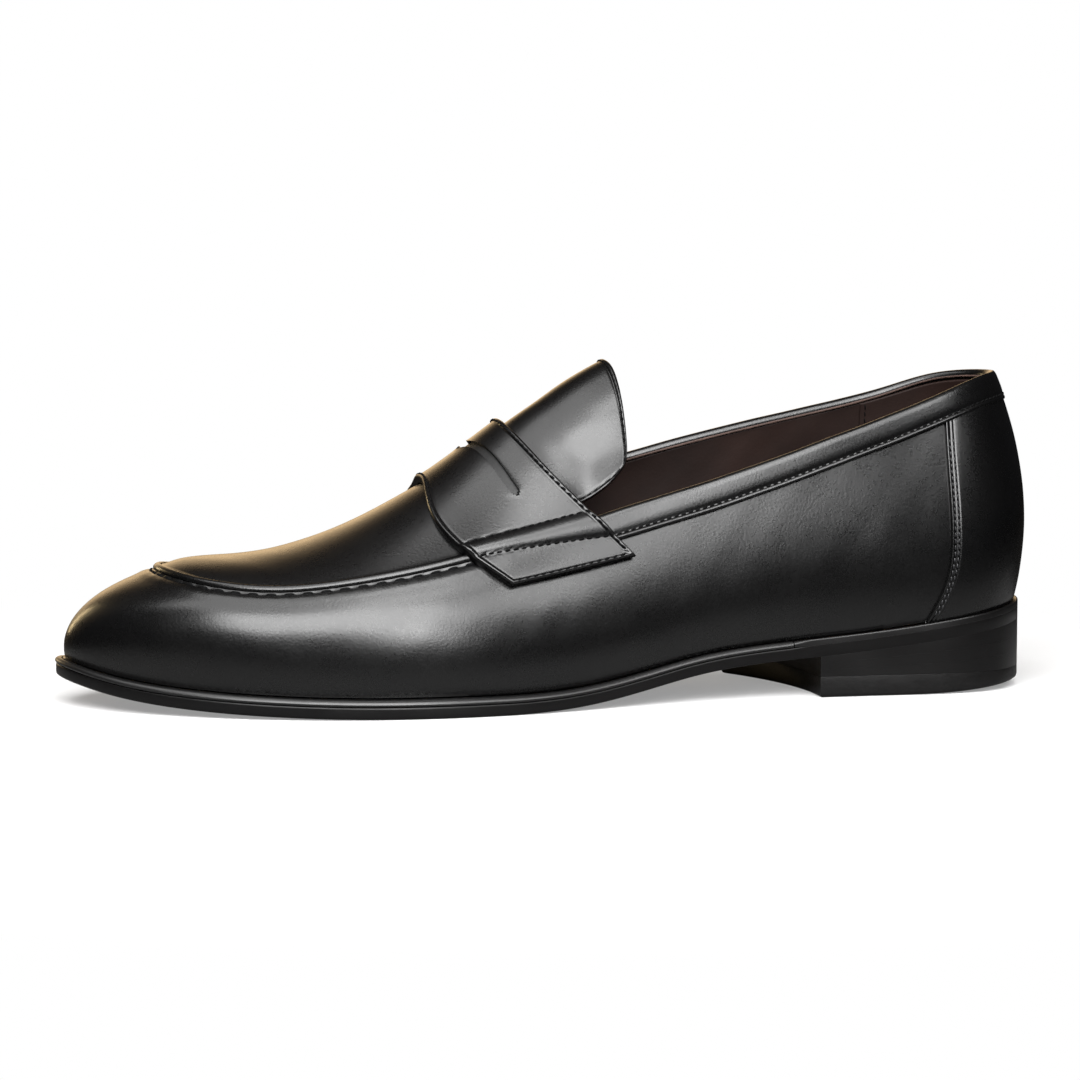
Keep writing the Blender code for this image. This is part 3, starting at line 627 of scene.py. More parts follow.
def edge_finish(name, shine):
    """Inked and waxed leather edge with faint fibre lines along it."""
    made = Finish(name)
    stretched = made.stretch((60, 60, 1500))
    made.colours(made.noise(14, 4), [(0.3, (0.0024, 0.0023, 0.0024)),
                                     (0.7, (0.0044, 0.0041, 0.0041))])
    made.roughness(made.span(made.noise(60, 3), 0.3, 0.42))
    made.bump([(made.noise(1, 4, 0.6, stretched), 0.00005, 0.2),
               (made.noise(1800, 2), 0.00002, 0.25)])
    made.set(Coat_Weight=0.3 * shine, Coat_Roughness=0.2, Specular_IOR_Level=shine)
    return made.material


def sole_finish(name, dark, middle, light):
    """Sole leather with fibres along it and scuffs on the tread."""
    made = Finish(name)
    grain = made.stretch((130, 420, 420))
    mixed = made.math("ADD", made.math("MULTIPLY", made.noise(22, 5), 0.6),
                      made.math("MULTIPLY", made.noise(1, 4, 0.6, grain), 0.4))
    made.colours(mixed, [(0.36, dark), (0.5, middle), (0.64, light)])
    made.roughness(made.span(mixed, 0.36, 0.62))
    made.bump([(made.noise(1, 4, 0.6, grain), 0.00012, 0.35), (made.cells(1400), 0.00006, 0.4)])
    return made.material


def metal_finish(name, colour, rough):
    made = Finish(name)
    brushed = made.stretch((40, 2500, 2500))
    made.colours(made.noise(60, 3), [(0.3, tuple(c * 0.8 for c in colour)), (0.7, colour)])
    made.roughness(made.span(made.noise(1, 3, 0.6, brushed), rough - 0.08, rough + 0.12))
    made.bump([(made.noise(1, 3, 0.6, brushed), 0.00003, 0.3)])
    made.set(Metallic=1.0)
    return made.material


EDGE_INK = edge_finish("waxed_edge", 0.5)
SOLE_INK = edge_finish("inked_sole_edge", 0.2)
HEEL_INK = edge_finish("inked_heel_edge", 0.28)
SOLE_LEATHER = sole_finish("sole_leather", srgb(58, 24, 17), srgb(80, 34, 24), srgb(104, 48, 34))
# Near-black copy of the sole leather for the tread under the waist: painted shade where the waist's shadow
# falls.
WAIST_SHADE_LEATHER = sole_finish("waist_painted_shade", srgb(14, 8, 7), srgb(20, 11, 9), srgb(30, 16, 13))
RUBBER = plain_noise("heel_rubber", (0.0028, 0.0027, 0.0027), (0.0050, 0.0046, 0.0046), 0.42, 1300,
                     0.0001, Specular_IOR_Level=0.28)
BOARD = plain_noise("board", srgb(168, 128, 88), srgb(198, 158, 112), 0.85, 500, 0.0002, 0.6)
CORK = plain_noise("cork", srgb(120, 78, 42), srgb(178, 126, 76), 0.9, 260, 0.0005, 0.9)
STEEL = metal_finish("shank_steel", (0.52, 0.53, 0.55), 0.32)
BRASS = metal_finish("nail_brass", (0.62, 0.43, 0.17), 0.34)


# ---------------------------------------------------------------- upper

def from_top(t, distances):
    """Shares of the wall's height at distances below the upper edge, and the wall's heights."""
    distances = np.broadcast_to(distances, (len(t), np.shape(distances)[-1]))
    steps = np.linspace(1, 0, 200)
    run = runs(wall(t[:, None], steps), 1)
    return np.array([np.interp(d, r, steps) for d, r in zip(distances, run)]), run[:, -1]


def station_at(s_target, w, low, high):
    """Station between low and high where the wall at share w reaches s_target."""
    for _ in range(34):
        middle = (low + high) / 2
        ahead = wall(middle, w)[0, 0] < s_target
        if ahead == (wall(high, w)[0, 0] > s_target):
            low = middle
        else:
            high = middle
    return (low + high) / 2


def even_stations(start, end, step, curve=EDGE):
    """Stations whose points lie about one step apart on a curve."""
    t = np.linspace(start, end, 2000)
    run = path_lengths(curve(t))
    count = max(2, int(round(run[-1] / step)) + 1)
    return np.interp(np.linspace(0, run[-1], count), run, t)


def seam_station(w, side):
    """Station of the heel seam at shares of the wall's height, on the outer or inner side."""
    table = np.linspace(0, 1, 24)
    bounds = (9, 11.5) if side > 0 else (15, 12.5)
    known = [station_at(SEAM([x])[0, 0], x, *bounds) for x in table]
    return np.interp(w, table, known)


APRON_PITCH = 5.3
APRON_END = 6.78
SKIRT_TOP = 0.9
SKIRT_LEAN = 9.0
SKIRT_REAR = 10.6
SEAM_LAP = 7.0 / 30
FOXING_ROWS = (1.6, 2.8)


def vamp_skirt():
    """Side leather from heel seam to heel seam round the toe, drawn in along the apron seam."""
    fine = even_stations(-APRON_END - 0.1, APRON_END + 0.1, 0.62)
    outer = even_stations(APRON_END + 0.1, SKIRT_REAR, 1.8)[1:]
    inner = even_stations(-SKIRT_REAR, -APRON_END - 0.1, 1.8)[:-1]
    stations = np.concatenate([inner, fine, outer])
    near_top = np.concatenate([np.arange(0, 5.6, 0.26), np.arange(5.8, 9, 0.6)])
    _, heights = from_top(stations, [0.0])
    far = np.linspace(0, 1, 34)
    down = np.array([np.concatenate([near_top, 9 + (height - 9) * far]) for height in heights])
    down = SKIRT_TOP + down * ((heights - SKIRT_TOP) / heights)[:, None]
    shares, _ = from_top(stations, down)
    grid = wall(stations[:, None], shares)
    # the rear rows lean with the slanting heel seam
    for side, chosen in ((1, stations > SKIRT_LEAN), (-1, stations < -SKIRT_LEAN)):
        limit = seam_station(shares[chosen], side)
        limit = limit if side > 0 else limit - STATIONS
        reach = (np.abs(stations[chosen][:, None]) - SKIRT_LEAN) / (SKIRT_REAR - SKIRT_LEAN)
        target = side * (SKIRT_LEAN + reach * (np.abs(limit) + SEAM_LAP - SKIRT_LEAN))
        grid[chosen] = wall(target, shares[chosen])
    foot = grid[:, -1]
    push = sideways(stations)
    grid = np.concatenate([grid, (foot - push * 0.35 - UP * 0.16)[:, None],
                           (foot - push * 1.6 - UP * 0.22)[:, None]], axis=1)
    run = path_lengths(grid[:, 6])
    phase = (run - np.interp(0, stations, run))[:, None] / APRON_PITCH * 2 * math.pi
    depth = runs(grid, 1)
    in_apron = (1 - smooth(np.abs(stations), APRON_END - 0.25, APRON_END))[:, None]
    pucker = 0.04 * np.cos(phase) * np.exp(-(depth / 3.4) ** 1.5)
    pits = -0.16 * (0.5 - 0.5 * np.cos(phase)) ** 2 * hump(depth, 1.1, 0.6)
    groove = -0.3 * hump(depth, 1.05, 0.62)
    swell = 0.22 * hump(depth, 3.6, 1.7)
    under_foxing = -0.35 * smooth(34 * (np.abs(stations) - 9.3), 5, 25)[:, None]
    relief = in_apron * (pucker + pits + groove + swell) + under_foxing
    relief = relief + waver(grid, 0.04) * smooth(depth, 2, 12)
    item, outer_grid, normal = leather("skirt_leather", grid, UPPER_THICK, BLACK_CALF, (150, 2, 30),
                                       relief, (0, 0, 0.35, 0))
    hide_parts("vamp_skirt")
    chosen = np.abs(stations) <= APRON_END
    points, ways = line_at(outer_grid[chosen], normal[chosen], 1, 1.25)
    middle = np.interp(0, stations[chosen], path_lengths(points))
    stitches("apron_stitches", [(points, ways)], APRON_PITCH, THREAD, 3.0, 0.55, 0.12, slant=3,
             phase=(middle % APRON_PITCH) / APRON_PITCH, flat=0.85)


def heel_foxing():
    """Heel leather lapped over the skirt, with two rows of stitches along each front edge."""
    up = np.linspace(0, 1, 70)
    outer = seam_station(up, 1)
    inner = seam_station(up, -1)
    across = spaced(118.0, 1.6, True, True, 4.2, 0.24)
    edges, _ = from_top(np.linspace(10, 14, 5), [GAP + 0.3])
    share = across[:, None]
    grid = wall(outer * (1 - share) + inner * share, up * float(edges.mean()))
    push = sideways(np.interp(across, [0, 1], [outer[0], inner[0]]))
    foot = grid[:, 0]
    grid = np.concatenate([(foot - push * 1.4 - UP * 0.22)[:, None],
                           (foot - push * 0.35 - UP * 0.16)[:, None], grid], axis=1)
    near = runs(grid, 0)
    front = np.minimum(near, near[-1:] - near)
    lap = 0.62 * (1 - smooth(front, 8, 30))
    bead = 0.2 * hump(front, 0.5, 0.4)
    rows = -0.2 * sum(hump(front, row, 0.3) for row in FOXING_ROWS)
    relief = lap + bead + rows + waver(grid, 0.04) * smooth(front, 2, 15)
    item, outer_grid, normal = leather("foxing_leather", grid, UPPER_THICK, BLACK_CALF, (260, 0, 40),
                                       relief, (0.5, 0.5, 0, 0))
    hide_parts("heel_foxing")
    lines = [line_at(outer_grid[:, 4:-14], normal[:, 4:-14], 0, row, end)
             for row in FOXING_ROWS for end in (False, True)]
    # the heel stitches take the thread whose lighter colour is painted sheen
    stitches("foxing_stitches", lines, 1.9, THREAD_PAINTED_SHEEN, 1.4, 0.25, 0.2)


def apron():
    """Front panel inside the hand-sewn seam, its edge turned down to the cord."""
    inset = 1.05
    front = CREST[0][0] + inset
    middles = front + (121 - front) * spaced(104, 1.1, True, False, 3, 0.35)
    spread = np.linspace(-1, 1, 95)
    spread = np.sign(spread) * (1 - (1 - np.abs(spread)) ** 1.25)
    rows = []
    for c in middles:
        half = abs(instep(c, 1)[0, 1] - instep(c, -1)[0, 1]) / 2
        across = spread * (1 - inset / half)
        corner = 4.2 * max(0, 1 - (c - front) / TOE_BLEND) * across ** 2
        rows.append(instep(c + corner, across))
    grid = np.array(rows)
    _, _, left, right = border_distances(grid)
    near = np.minimum(np.minimum(left, right), runs(grid, 0))
    relief = 0.16 * hump(near, 0.5, 0.45) + waver(grid, 0.04) * smooth(near, 2, 9)
    item, _, _ = leather("apron_leather", grid, UPPER_THICK, BLACK_CALF, (90, 2, 10), relief,
                         (0.55, 0, 0.55, 0.55))
    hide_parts("apron")


def apron_cord():
    """Raised roll of leather over the seam, of oval section."""
    half_width, half_height = 1.25, 0.85
    stations = even_stations(-APRON_END, APRON_END, 0.8)
    points = EDGE(stations)
    shares, _ = from_top(stations, [0.5])
    away = unit(points - wall(stations, shares[:, 0]))
    out = np.cross(unit(np.gradient(points, axis=0)), away)
    out = out * np.sign(np.sum(out * (sideways(stations) + UP), axis=1))[:, None]
    ways = unit(out - away * 0.3)
    centres = points + ways * 0.35 + away * 0.25
    side = np.cross(ways, unit(np.gradient(centres, axis=0)))
    angles = np.arange(14)[:, None] / 14 * 2 * math.pi
    sections = (centres[:, None] + side[:, None] * (np.cos(angles) * half_width)
                + ways[:, None] * (np.sin(angles) * half_height))
    item = sweep("apron_cord", sections, TRIM_CALF)
    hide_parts("apron_piping")


BAND_HEIGHT = 9.3
BAND_ENDS = (6.62, 17.38)


def collar_band():
    """Band folded over the topline: stitched above its rounded lower edge."""
    stations = even_stations(*BAND_ENDS, 1.5)
    foot = BAND_HEIGHT
    fold_radius = 1.8
    fold = [(1.7 - fold_radius * math.sin(angle), fold_radius * math.cos(angle) - 0.45)
            for angle in np.radians(np.linspace(10, 170, 13))]
    # (distance below the upper edge, distance out of the wall), from the foot over to the inside
    profile = np.array([
        (foot - 0.15, 0.35), (foot, 0.55), (foot, 0.95), (foot - 0.12, 1.25), (foot - 0.4, 1.48),
        (foot - 0.75, 1.5), (foot - 1.1, 1.36), (foot - 1.4, 1.12), (foot - 1.65, 0.98),
        (foot - 1.95, 1.04), (foot - 2.4, 1.22), (foot - 3.2, 1.38), (foot - 4.6, 1.46), (3.6, 1.42),
        (2.6, 1.42), *fold, (2.2, -2.28), (2.9, -2.28), (3.1, -2.05), (2.9, -1.75), (1.6, -1.5),
        (0.9, -0.9), (0.9, -0.2), (1.6, 0.25), (4.0, 0.32)])
    stitch_column = 8
    drops = np.maximum(profile[:, 0], 0)
    shares, _ = from_top(stations, drops)
    below, _ = from_top(stations, drops + 0.4)
    above, _ = from_top(stations, np.maximum(drops - 0.4, 0))
    t = stations[:, None]
    rise = unit(wall(t, above) - wall(t, below))
    side = sideways(stations)[:, None]
    way = unit(side - rise * np.sum(rise * side, axis=2)[..., None])
    over = np.maximum(-profile[:, 0], 0)[:, None]
    thin = 1 - 0.6 * (1 - smooth(np.abs(t - HEEL_STATION), 0.7, 2.2))
    offset = profile[:, 1] * np.where(profile[:, 1] > 0, thin, 1)
    sections = wall(t, shares) + way * offset[..., None] + rise * over
    sections = sections + waver(sections, 0.045)[..., None] * UP
    item = sweep("collar_band", sections, TRIM_CALF)
    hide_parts("collar_binding")
    points = sections[:, stitch_column]
    up = sections[:, stitch_column + 2] - sections[:, stitch_column - 2]
    ways = unit(np.cross(np.gradient(points, axis=0), up))
    ways = ways * np.sign(np.sum(ways * side[:, 0], axis=1))[:, None]
    stitches("collar_stitches", [(points, ways)], 2.3, THREAD, 1.6, 0.32, 0.14)


def outer_surface():
    """Search tree of the upper's outer surface, walls and instep together."""
    top = instep(np.linspace(CREST[0][0], CREST[-1][0] + 2, 180)[:, None], np.linspace(-1, 1, 121))
    side = wall(np.linspace(-8, 8, 360)[:, None], np.linspace(0, 1, 80))
    verts = np.concatenate([top.reshape(-1, 3), side.reshape(-1, 3)])
    faces = np.vstack([quads(*top.shape[:2]), quads(*side.shape[:2], top.size // 3)])
    return BVHTree.FromPolygons(verts.tolist(), faces.tolist())


SURFACE = outer_surface()


def on_surface(guesses):
    """Nearest points of the upper to each guess, with their outward normals."""
    points = []
    ways = []
    for guess in guesses:
        spot, normal, _, _ = SURFACE.find_nearest(Vector(guess))
        spot, way = np.array(spot), np.array(normal)
        points.append(spot)
        ways.append(-way if way @ (spot - np.array([spot[0], 2, 15])) < 0 else way)
    return np.array(points), np.array(ways)


SLOT_HALF = 1.3


def slot_centre(across):
    """Share across the strap's width of the slot's middle: a gull's wings about the crest."""
    out = np.abs(across - 4) / 4
    wing = 0.09 * np.sin(math.pi * np.clip(out / 0.58, 0, 1))
    return SLOT_MIDDLE + SLOT_BEND * out ** 2 + wing


ROW_ONE = ((1.22, 0.93), (6.72, 6.98))
ROW_TWO = ((0.86, 0.4), (7.16, 7.56))
STRAP_SEAM = 1.95
STRAP_STATION = 14.0  # mm along the strap between two of its stations


def saddle_strap():
    """Strap over the instep: folded and stitched edges, slot, and sewn-down ends."""
    across = 8 * spaced(112, 0.55, True, True, 5, 0.28)
    front = STRAP_FRONT_AT(across)
    rear = STRAP_REAR_AT(across)
    widths = np.linalg.norm(rear - front, axis=1)
    centre = slot_centre(across)
    mouth = 1 + 0.5 * hump(across, 4, 0.25)
    half_beside = np.array([0.45, 0.9, 0.98, 1.05, 1.2, 1.5, 1.9])
    beside = np.concatenate([-half_beside[::-1], [0], half_beside])
    grid_shares = []
    for width, middle, wide in zip(widths, centre, mouth):
        local = middle * width + beside * SLOT_HALF * wide
        first = local[0] * spaced(max(local[0], 4), 0.7, True, False, 3.3, 0.3)
        rest = width - local[-1]
        edge_zone = 3.3 if rest > 3.4 else 1.5
        last = local[-1] + rest * spaced(max(rest, 3.0), 0.7, False, True, edge_zone, 0.3)
        grid_shares.append((first[:-1], local, last[1:], width))
    count_first = max(len(first) for first, _, _, _ in grid_shares)
    count_last = max(len(last) for _, _, last, _ in grid_shares)
    shares = np.array([
        np.concatenate([resampled(first, count_first), local, resampled(last, count_last)]) / width
        for first, local, last, width in grid_shares])
    guesses = front[:, None] * (1 - shares[..., None]) + rear[:, None] * shares[..., None]
    rows, columns = shares.shape
    points, ways = on_surface(guesses.reshape(-1, 3))
    points = points.reshape(rows, columns, 3)
    ways = ways.reshape(rows, columns, 3)
    for _ in range(3):
        ways[1:-1] = (ways[:-2] + ways[1:-1] * 2 + ways[2:]) / 4
        ways[:, 1:-1] = (ways[:, :-2] + ways[:, 1:-1] * 2 + ways[:, 2:]) / 4
    ways = unit(ways)
    a = np.broadcast_to(across[:, None], shares.shape)
    skived = smooth(a, 4.15, 4.9) * (1 - smooth(shares, 0.02, 0.3))
    lift = (STRAP_LIFT + STRAP_REAR_LIFT * shares + STRAP_THICK) * (1 - 0.5 * skived)
    grid = points + ways * lift[..., None]
    d_end0, d_end1, d_front, d_rear = border_distances(grid)
    near = np.minimum(np.minimum(d_front, d_rear), np.minimum(d_end0, d_end1))
    relief = 0.42 * hump(near, 0.85, 0.85) * (1 - skived) - 0.14 * hump(near, STRAP_SEAM, 0.36)
    for one, two in zip(ROW_ONE, ROW_TWO):
        high = one[0] * (1 - shares) + one[1] * shares
        low = two[0] * (1 - shares) + two[1] * shares
        x = (a - low) / (high - low)
        bulge = np.clip(4 * x * (1 - x), 0, 1) ** 0.8
        relief += 1.15 * bulge * ((x > 0) & (x < 1))
        keep = smooth(np.minimum(d_front, d_rear), 1.2, 2.4)
        rows_off = [(a - row) * STRAP_STATION for row in (high, low)]
        relief -= 0.14 * keep * sum(hump(off, 0, 0.34) for off in rows_off)
    offset = (shares - centre[:, None]) * widths[:, None]
    half = SLOT_HALF * mouth[:, None] * np.ones_like(shares)
    end = np.minimum(a - SLOT_REACH[0], SLOT_REACH[1] - a) * STRAP_STATION
    half = half * np.sqrt(np.clip(1 - np.clip(1 - end / SLOT_HALF, 0, 1) ** 2, 0, 1))
    inside_slot = (np.abs(offset) <= half) & (end > 0)
    lip = 0.2 * np.exp(-np.clip((np.abs(offset) - half) / 0.8, 0, 9)) * smooth(end, -1.5, 0.5)
    relief = np.where(inside_slot, relief - 1.15, relief + lip)
    relief += waver(grid, 0.04) * smooth(near, 2, 8)
    item, outer_grid, normal = leather("strap_leather", grid, STRAP_THICK, TRIM_CALF, (130, 2, 20),
                                       relief, (0.8, 0.8, 0.8, 0.8))
    # the slot's floor faces take the darker calf, painted shade in the recess
    item.data.materials.append(SLOT_FLOOR_SHADE)
    count = shares.size
    flags = inside_slot.ravel()
    for polygon in item.data.polygons:
        if all(v < count and flags[v] for v in polygon.vertices):
            polygon.material_index = 1
    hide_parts("saddle_strap")
    keep = (d_end0[:, 0] > STRAP_SEAM) & (d_end1[:, 0] > STRAP_SEAM)
    lines = [line_at(outer_grid[keep], normal[keep], 1, STRAP_SEAM, end) for end in (False, True)]
    for end in (False, True):
        points, ways = line_at(outer_grid, normal, 0, STRAP_SEAM, end)
        row = -1 if end else 0
        good = (d_front[row] > STRAP_SEAM) & (d_rear[row] > STRAP_SEAM)
        lines.append((points[good], ways[good]))
    for start, finish in ROW_ONE + ROW_TWO:
        points = []
        ways = []
        for j in range(columns):
            gap = across - (start * (1 - shares[:, j]) + finish * shares[:, j])
            i = int(np.argmin(np.abs(gap)))
            if min(d_front[i, j], d_rear[i, j]) > STRAP_SEAM * 0.8:
                low = max(i - 1, 0)
                high = min(i + 1, rows - 1)
                place = np.interp(0, gap[low:high + 1], np.arange(low, high + 1))
                k = int(np.clip(math.floor(place), 0, rows - 2))
                f = place - k
                points.append(outer_grid[k, j] * (1 - f) + outer_grid[k + 1, j] * f)
                ways.append(normal[k, j] * (1 - f) + normal[k + 1, j] * f)
        lines.append((np.array(points), np.array(ways)))
    stitches("strap_stitches", lines, 2.5, THREAD, 1.7, 0.38, 0.16)


def tongue_surface(shares, across):
    """Tongue's outer surface: it starts under the strap at shares below zero."""
    knots = np.linspace(0, 1, len(TONGUE_MIDDLE))
    middle = spline(knots, TONGUE_MIDDLE)
    outer = spline(knots, TONGUE_OUTER)
    inner = spline(knots, TONGUE_INNER)

    def bent(share):
        crest = middle(share)[0]
        row = []
        for v in across:
            side = (outer if v < 0 else inner)(share)[0]
            drop = (1 - ARCH_FULLNESS) * v ** 2 + ARCH_FULLNESS * v ** 4
            row.append(crest + (side - crest) * np.array([v ** 2, abs(v), drop]))
        return np.array(row)

    controls = [(-0.62, instep(117.0 + 4 * across ** 2, across * 0.93)),
                (-0.32, instep(126.5 + 3.5 * across ** 2, across * 0.93) + UP * 0.15),
                (0, bent(0)), (1 / 3, bent(1 / 3)), (2 / 3, bent(2 / 3)), (1, bent(1))]
    count = len(across)
    surface = spline([c[0] for c in controls], np.array([c[1].reshape(-1) for c in controls]))
    corner = 0.8
    rounding = 0.4 * (1 - np.sqrt(1 - np.clip((np.abs(across) - 1 + corner) / corner, 0, 1) ** 2))
    first = shares[0]
    grid = np.empty((len(shares), count, 3))
    for j, cut in enumerate(rounding):
        reached = first + (shares - first) * (1 - cut - first) / (1 - first)
        grid[:, j] = surface(reached).reshape(len(shares), count, 3)[:, j]
    return grid


def tongue():
    """Tongue with a turned edge, bending out from under the strap."""
    length = 53.0
    width = 92.0
    hidden = -0.6
    inset = 1.9
    centre = (145, 2, 60)
    shares = hidden + (1 - hidden) * spaced(length, 0.7, False, True, 2.6, 0.25)
    across = 2 * spaced(width, 0.8, True, True, 2.6, 0.25) - 1
    grid = tongue_surface(shares, across)
    _, end, left, right = border_distances(grid)
    sides = np.minimum(left, right)
    near = np.minimum(sides, end)
    out = smooth(np.broadcast_to(shares[:, None], near.shape), 0.05, 0.5)
    flare = out * (1.3 * np.exp(-sides / 4.5) - 1.1 * hump(sides, 12, 7))
    relief = 0.32 * hump(near, 0.8, 0.8) - 0.24 * hump(near, inset, 0.34) + flare
    relief += waver(grid, 0.06) * smooth(near, 2, 9)
    cover, outer_grid, normal = leather("tongue_leather", grid, UPPER_THICK, BLACK_CALF, centre, relief,
                                        (0, 0.75, 0.75, 0.75), None)
    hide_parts("tongue")
    inner = grid + normals(grid, centre) * (flare[..., None] - UPPER_THICK - 0.02)
    backing, _, _ = leather("tongue_backing", inner[:-4, 4:-4], LINING_THICK, LINING, centre, 0.0,
                            (0, 0, 0, 0), None)
    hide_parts("tongue_lining")
    visible = end[:, 0] > inset
    lines = [line_at(outer_grid[visible], normal[visible], 1, inset, last) for last in (False, True)]
    points, ways = line_at(outer_grid, normal, 0, inset, True)
    good = sides[-1] > inset
    lines.append((points[good], ways[good]))
    sewn = stitches("tongue_stitches", lines, 2.3, THREAD, 1.6, 0.3, 0.1, None)
    for item in (cover, backing, sewn):
        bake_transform(item)


# ---------------------------------------------------------------- linings

def lining_depth(t, down):
    """How far the lining's inner face lies under the outer surface."""
    heel = 1 - smooth(np.abs(t - HEEL_STATION), 2.0, 2.8)
    return 2.95 + 1.5 * heel * smooth(down, 4, 26)


def inner_sheet(name, start, end, node, raise_by=0.0):
    """Lining between two stations, rolled at its top; returns its inner face and normals."""
    stations = even_stations(start, end, 1.6)
    _, heights = from_top(stations, [0.0])
    top = 2.3
    steps = np.concatenate([FINE_STEPS[:6] / 60, np.linspace(0.02, 1, 44)])
    down = top + steps * (heights[:, None] * 0.985 - top)
    shares, _ = from_top(stations, down)
    grid = wall(stations[:, None], shares)
    normal = normals(grid, (float(grid[..., 0].mean()), 0, 45))
    depth = lining_depth(stations[:, None], down) + raise_by
    inner = grid - normal * (depth - waver(grid, 0.1))[..., None]
    outer = inner + normal * LINING_THICK
    inner = inner + normal * rolled(runs(grid, 1), 0.35)[..., None]
    item = make_object(name, np.concatenate([inner.reshape(-1, 3), outer.reshape(-1, 3)]),
                       shell_faces(*inner.shape[:2]), [LINING])
    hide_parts(node)
    return inner, normal


def linings():
    """Quarter and heel linings, the seam stitches between them and the cut edge at the top."""
    inner_sheet("lining_lateral", 6.4, 10.15, "quarter_lining_lateral")
    inner, normal = inner_sheet("lining_heel", 9.9, 14.12, "heel_lining", 0.55)
    inner_sheet("lining_medial", 13.9, 17.6, "quarter_lining_medial")
    lines = [line_at(inner[:, 4:-4], -normal[:, 4:-4], 0, 1.6, end) for end in (False, True)]
    stitches("lining_stitches", lines, 2.2, THREAD, 1.7, 0.2, 0.16)
    stations = even_stations(6.5, 17.5, 1.6)
    down = np.array([2.55, 2.25, 2.0, 1.95, 2.2, 2.6])
    depth = np.array([3.5, 3.55, 3.35, 2.6, 2.25, 2.3])
    shares, _ = from_top(stations, down)
    sections = wall(stations[:, None], shares) - sideways(stations)[:, None] * depth[:, None]
    item = sweep("lining_cut_edge", sections, CUT_EDGE)


def vamp_lining():
    """Forepart lining: up the sides and over under the apron."""
    stations = even_stations(-6.6, 6.6, 2.2)
    side = wall(stations[:, None], np.linspace(0.03, 1, 26))
    top = instep(np.linspace(30, 131, 60)[:, None], np.linspace(-0.97, 0.97, 41))
    verts = np.empty((0, 3))
    faces = []
    for grid, centre in ((side, (90, 2, 22)), (top, (90, 2, 5))):
        normal = normals(grid, centre)
        faces.append(shell_faces(*grid.shape[:2]) + len(verts))
        layers = [(grid - normal * depth).reshape(-1, 3) for depth in (3.6, 4.5)]
        verts = np.concatenate([verts, *layers])
    item = make_object("lining_vamp", verts, np.vstack(faces), [LINING])
    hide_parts("vamp_lining")


# ---------------------------------------------------------------- sole unit

HEEL_FRONT = (213, 221)
CHANNEL_END = (176, 184)
SOLE_SIDE = 0.2
SOCK_REACH = SOCK_INSET - 0.4


def edge_distance(plan, edge):
    """Distance of each plan point from the edge, a part at a time to save memory."""
    flat = plan.reshape(-1, 2)
    part = 2000
    gaps = [np.linalg.norm(flat[i:i + part, None] - edge, axis=2).min(axis=1)
            for i in range(0, len(flat), part)]
    return np.concatenate(gaps).reshape(plan.shape[:2])


def plan_rows(inset, rows=150, extra_width=False):
    """Plan grid of a sole-shaped layer, closer together near its edge."""
    u = np.linspace(0, 1, rows)
    stations = HEEL_STATION * (u - 0.13 * np.sin(2 * math.pi * u))
    sides = []
    for sign in (1, -1):
        edge = OUTLINE(sign * stations)
        reach = inset + (welt_width(edge) if extra_width else 0)
        reach = np.broadcast_to(reach, (rows, 1))
        sides.append(edge - outward(sign * stations) * reach)
    near = np.array([0, 0.08, 0.2, 0.36, 0.58, 0.85, 1.2, 1.7, 2.4, 3.4, 4.2, 4.6, 5, 5.4, 5.8,
                     6.6]) / 80
    middle = np.linspace(0.1, 0.9, 22)
    share = np.concatenate([near, middle, 1 - near[::-1]])[None, :, None]
    return sides[0][:, None] * (1 - share) + sides[1][:, None] * share


def plan_solid(name, plan, low, high, roll_low, roll_high, materials, edge):
    """Layer of the sole between two heights above its underside, its edges rolled."""
    distance = edge_distance(plan, edge)
    base = sole_low(plan[..., 0])
    top = base + high - rolled(distance, roll_high)
    bottom = base + low + rolled(distance, roll_low)
    verts = np.concatenate([np.dstack([plan, face]).reshape(-1, 3) for face in (top, bottom)])
    return make_object(name, verts, shell_faces(*plan.shape[:2]), materials, "shoe", 55)


def in_waist(polygon):
    return polygon.center.x > (WAIST_START - ORIGIN[0]) * MM


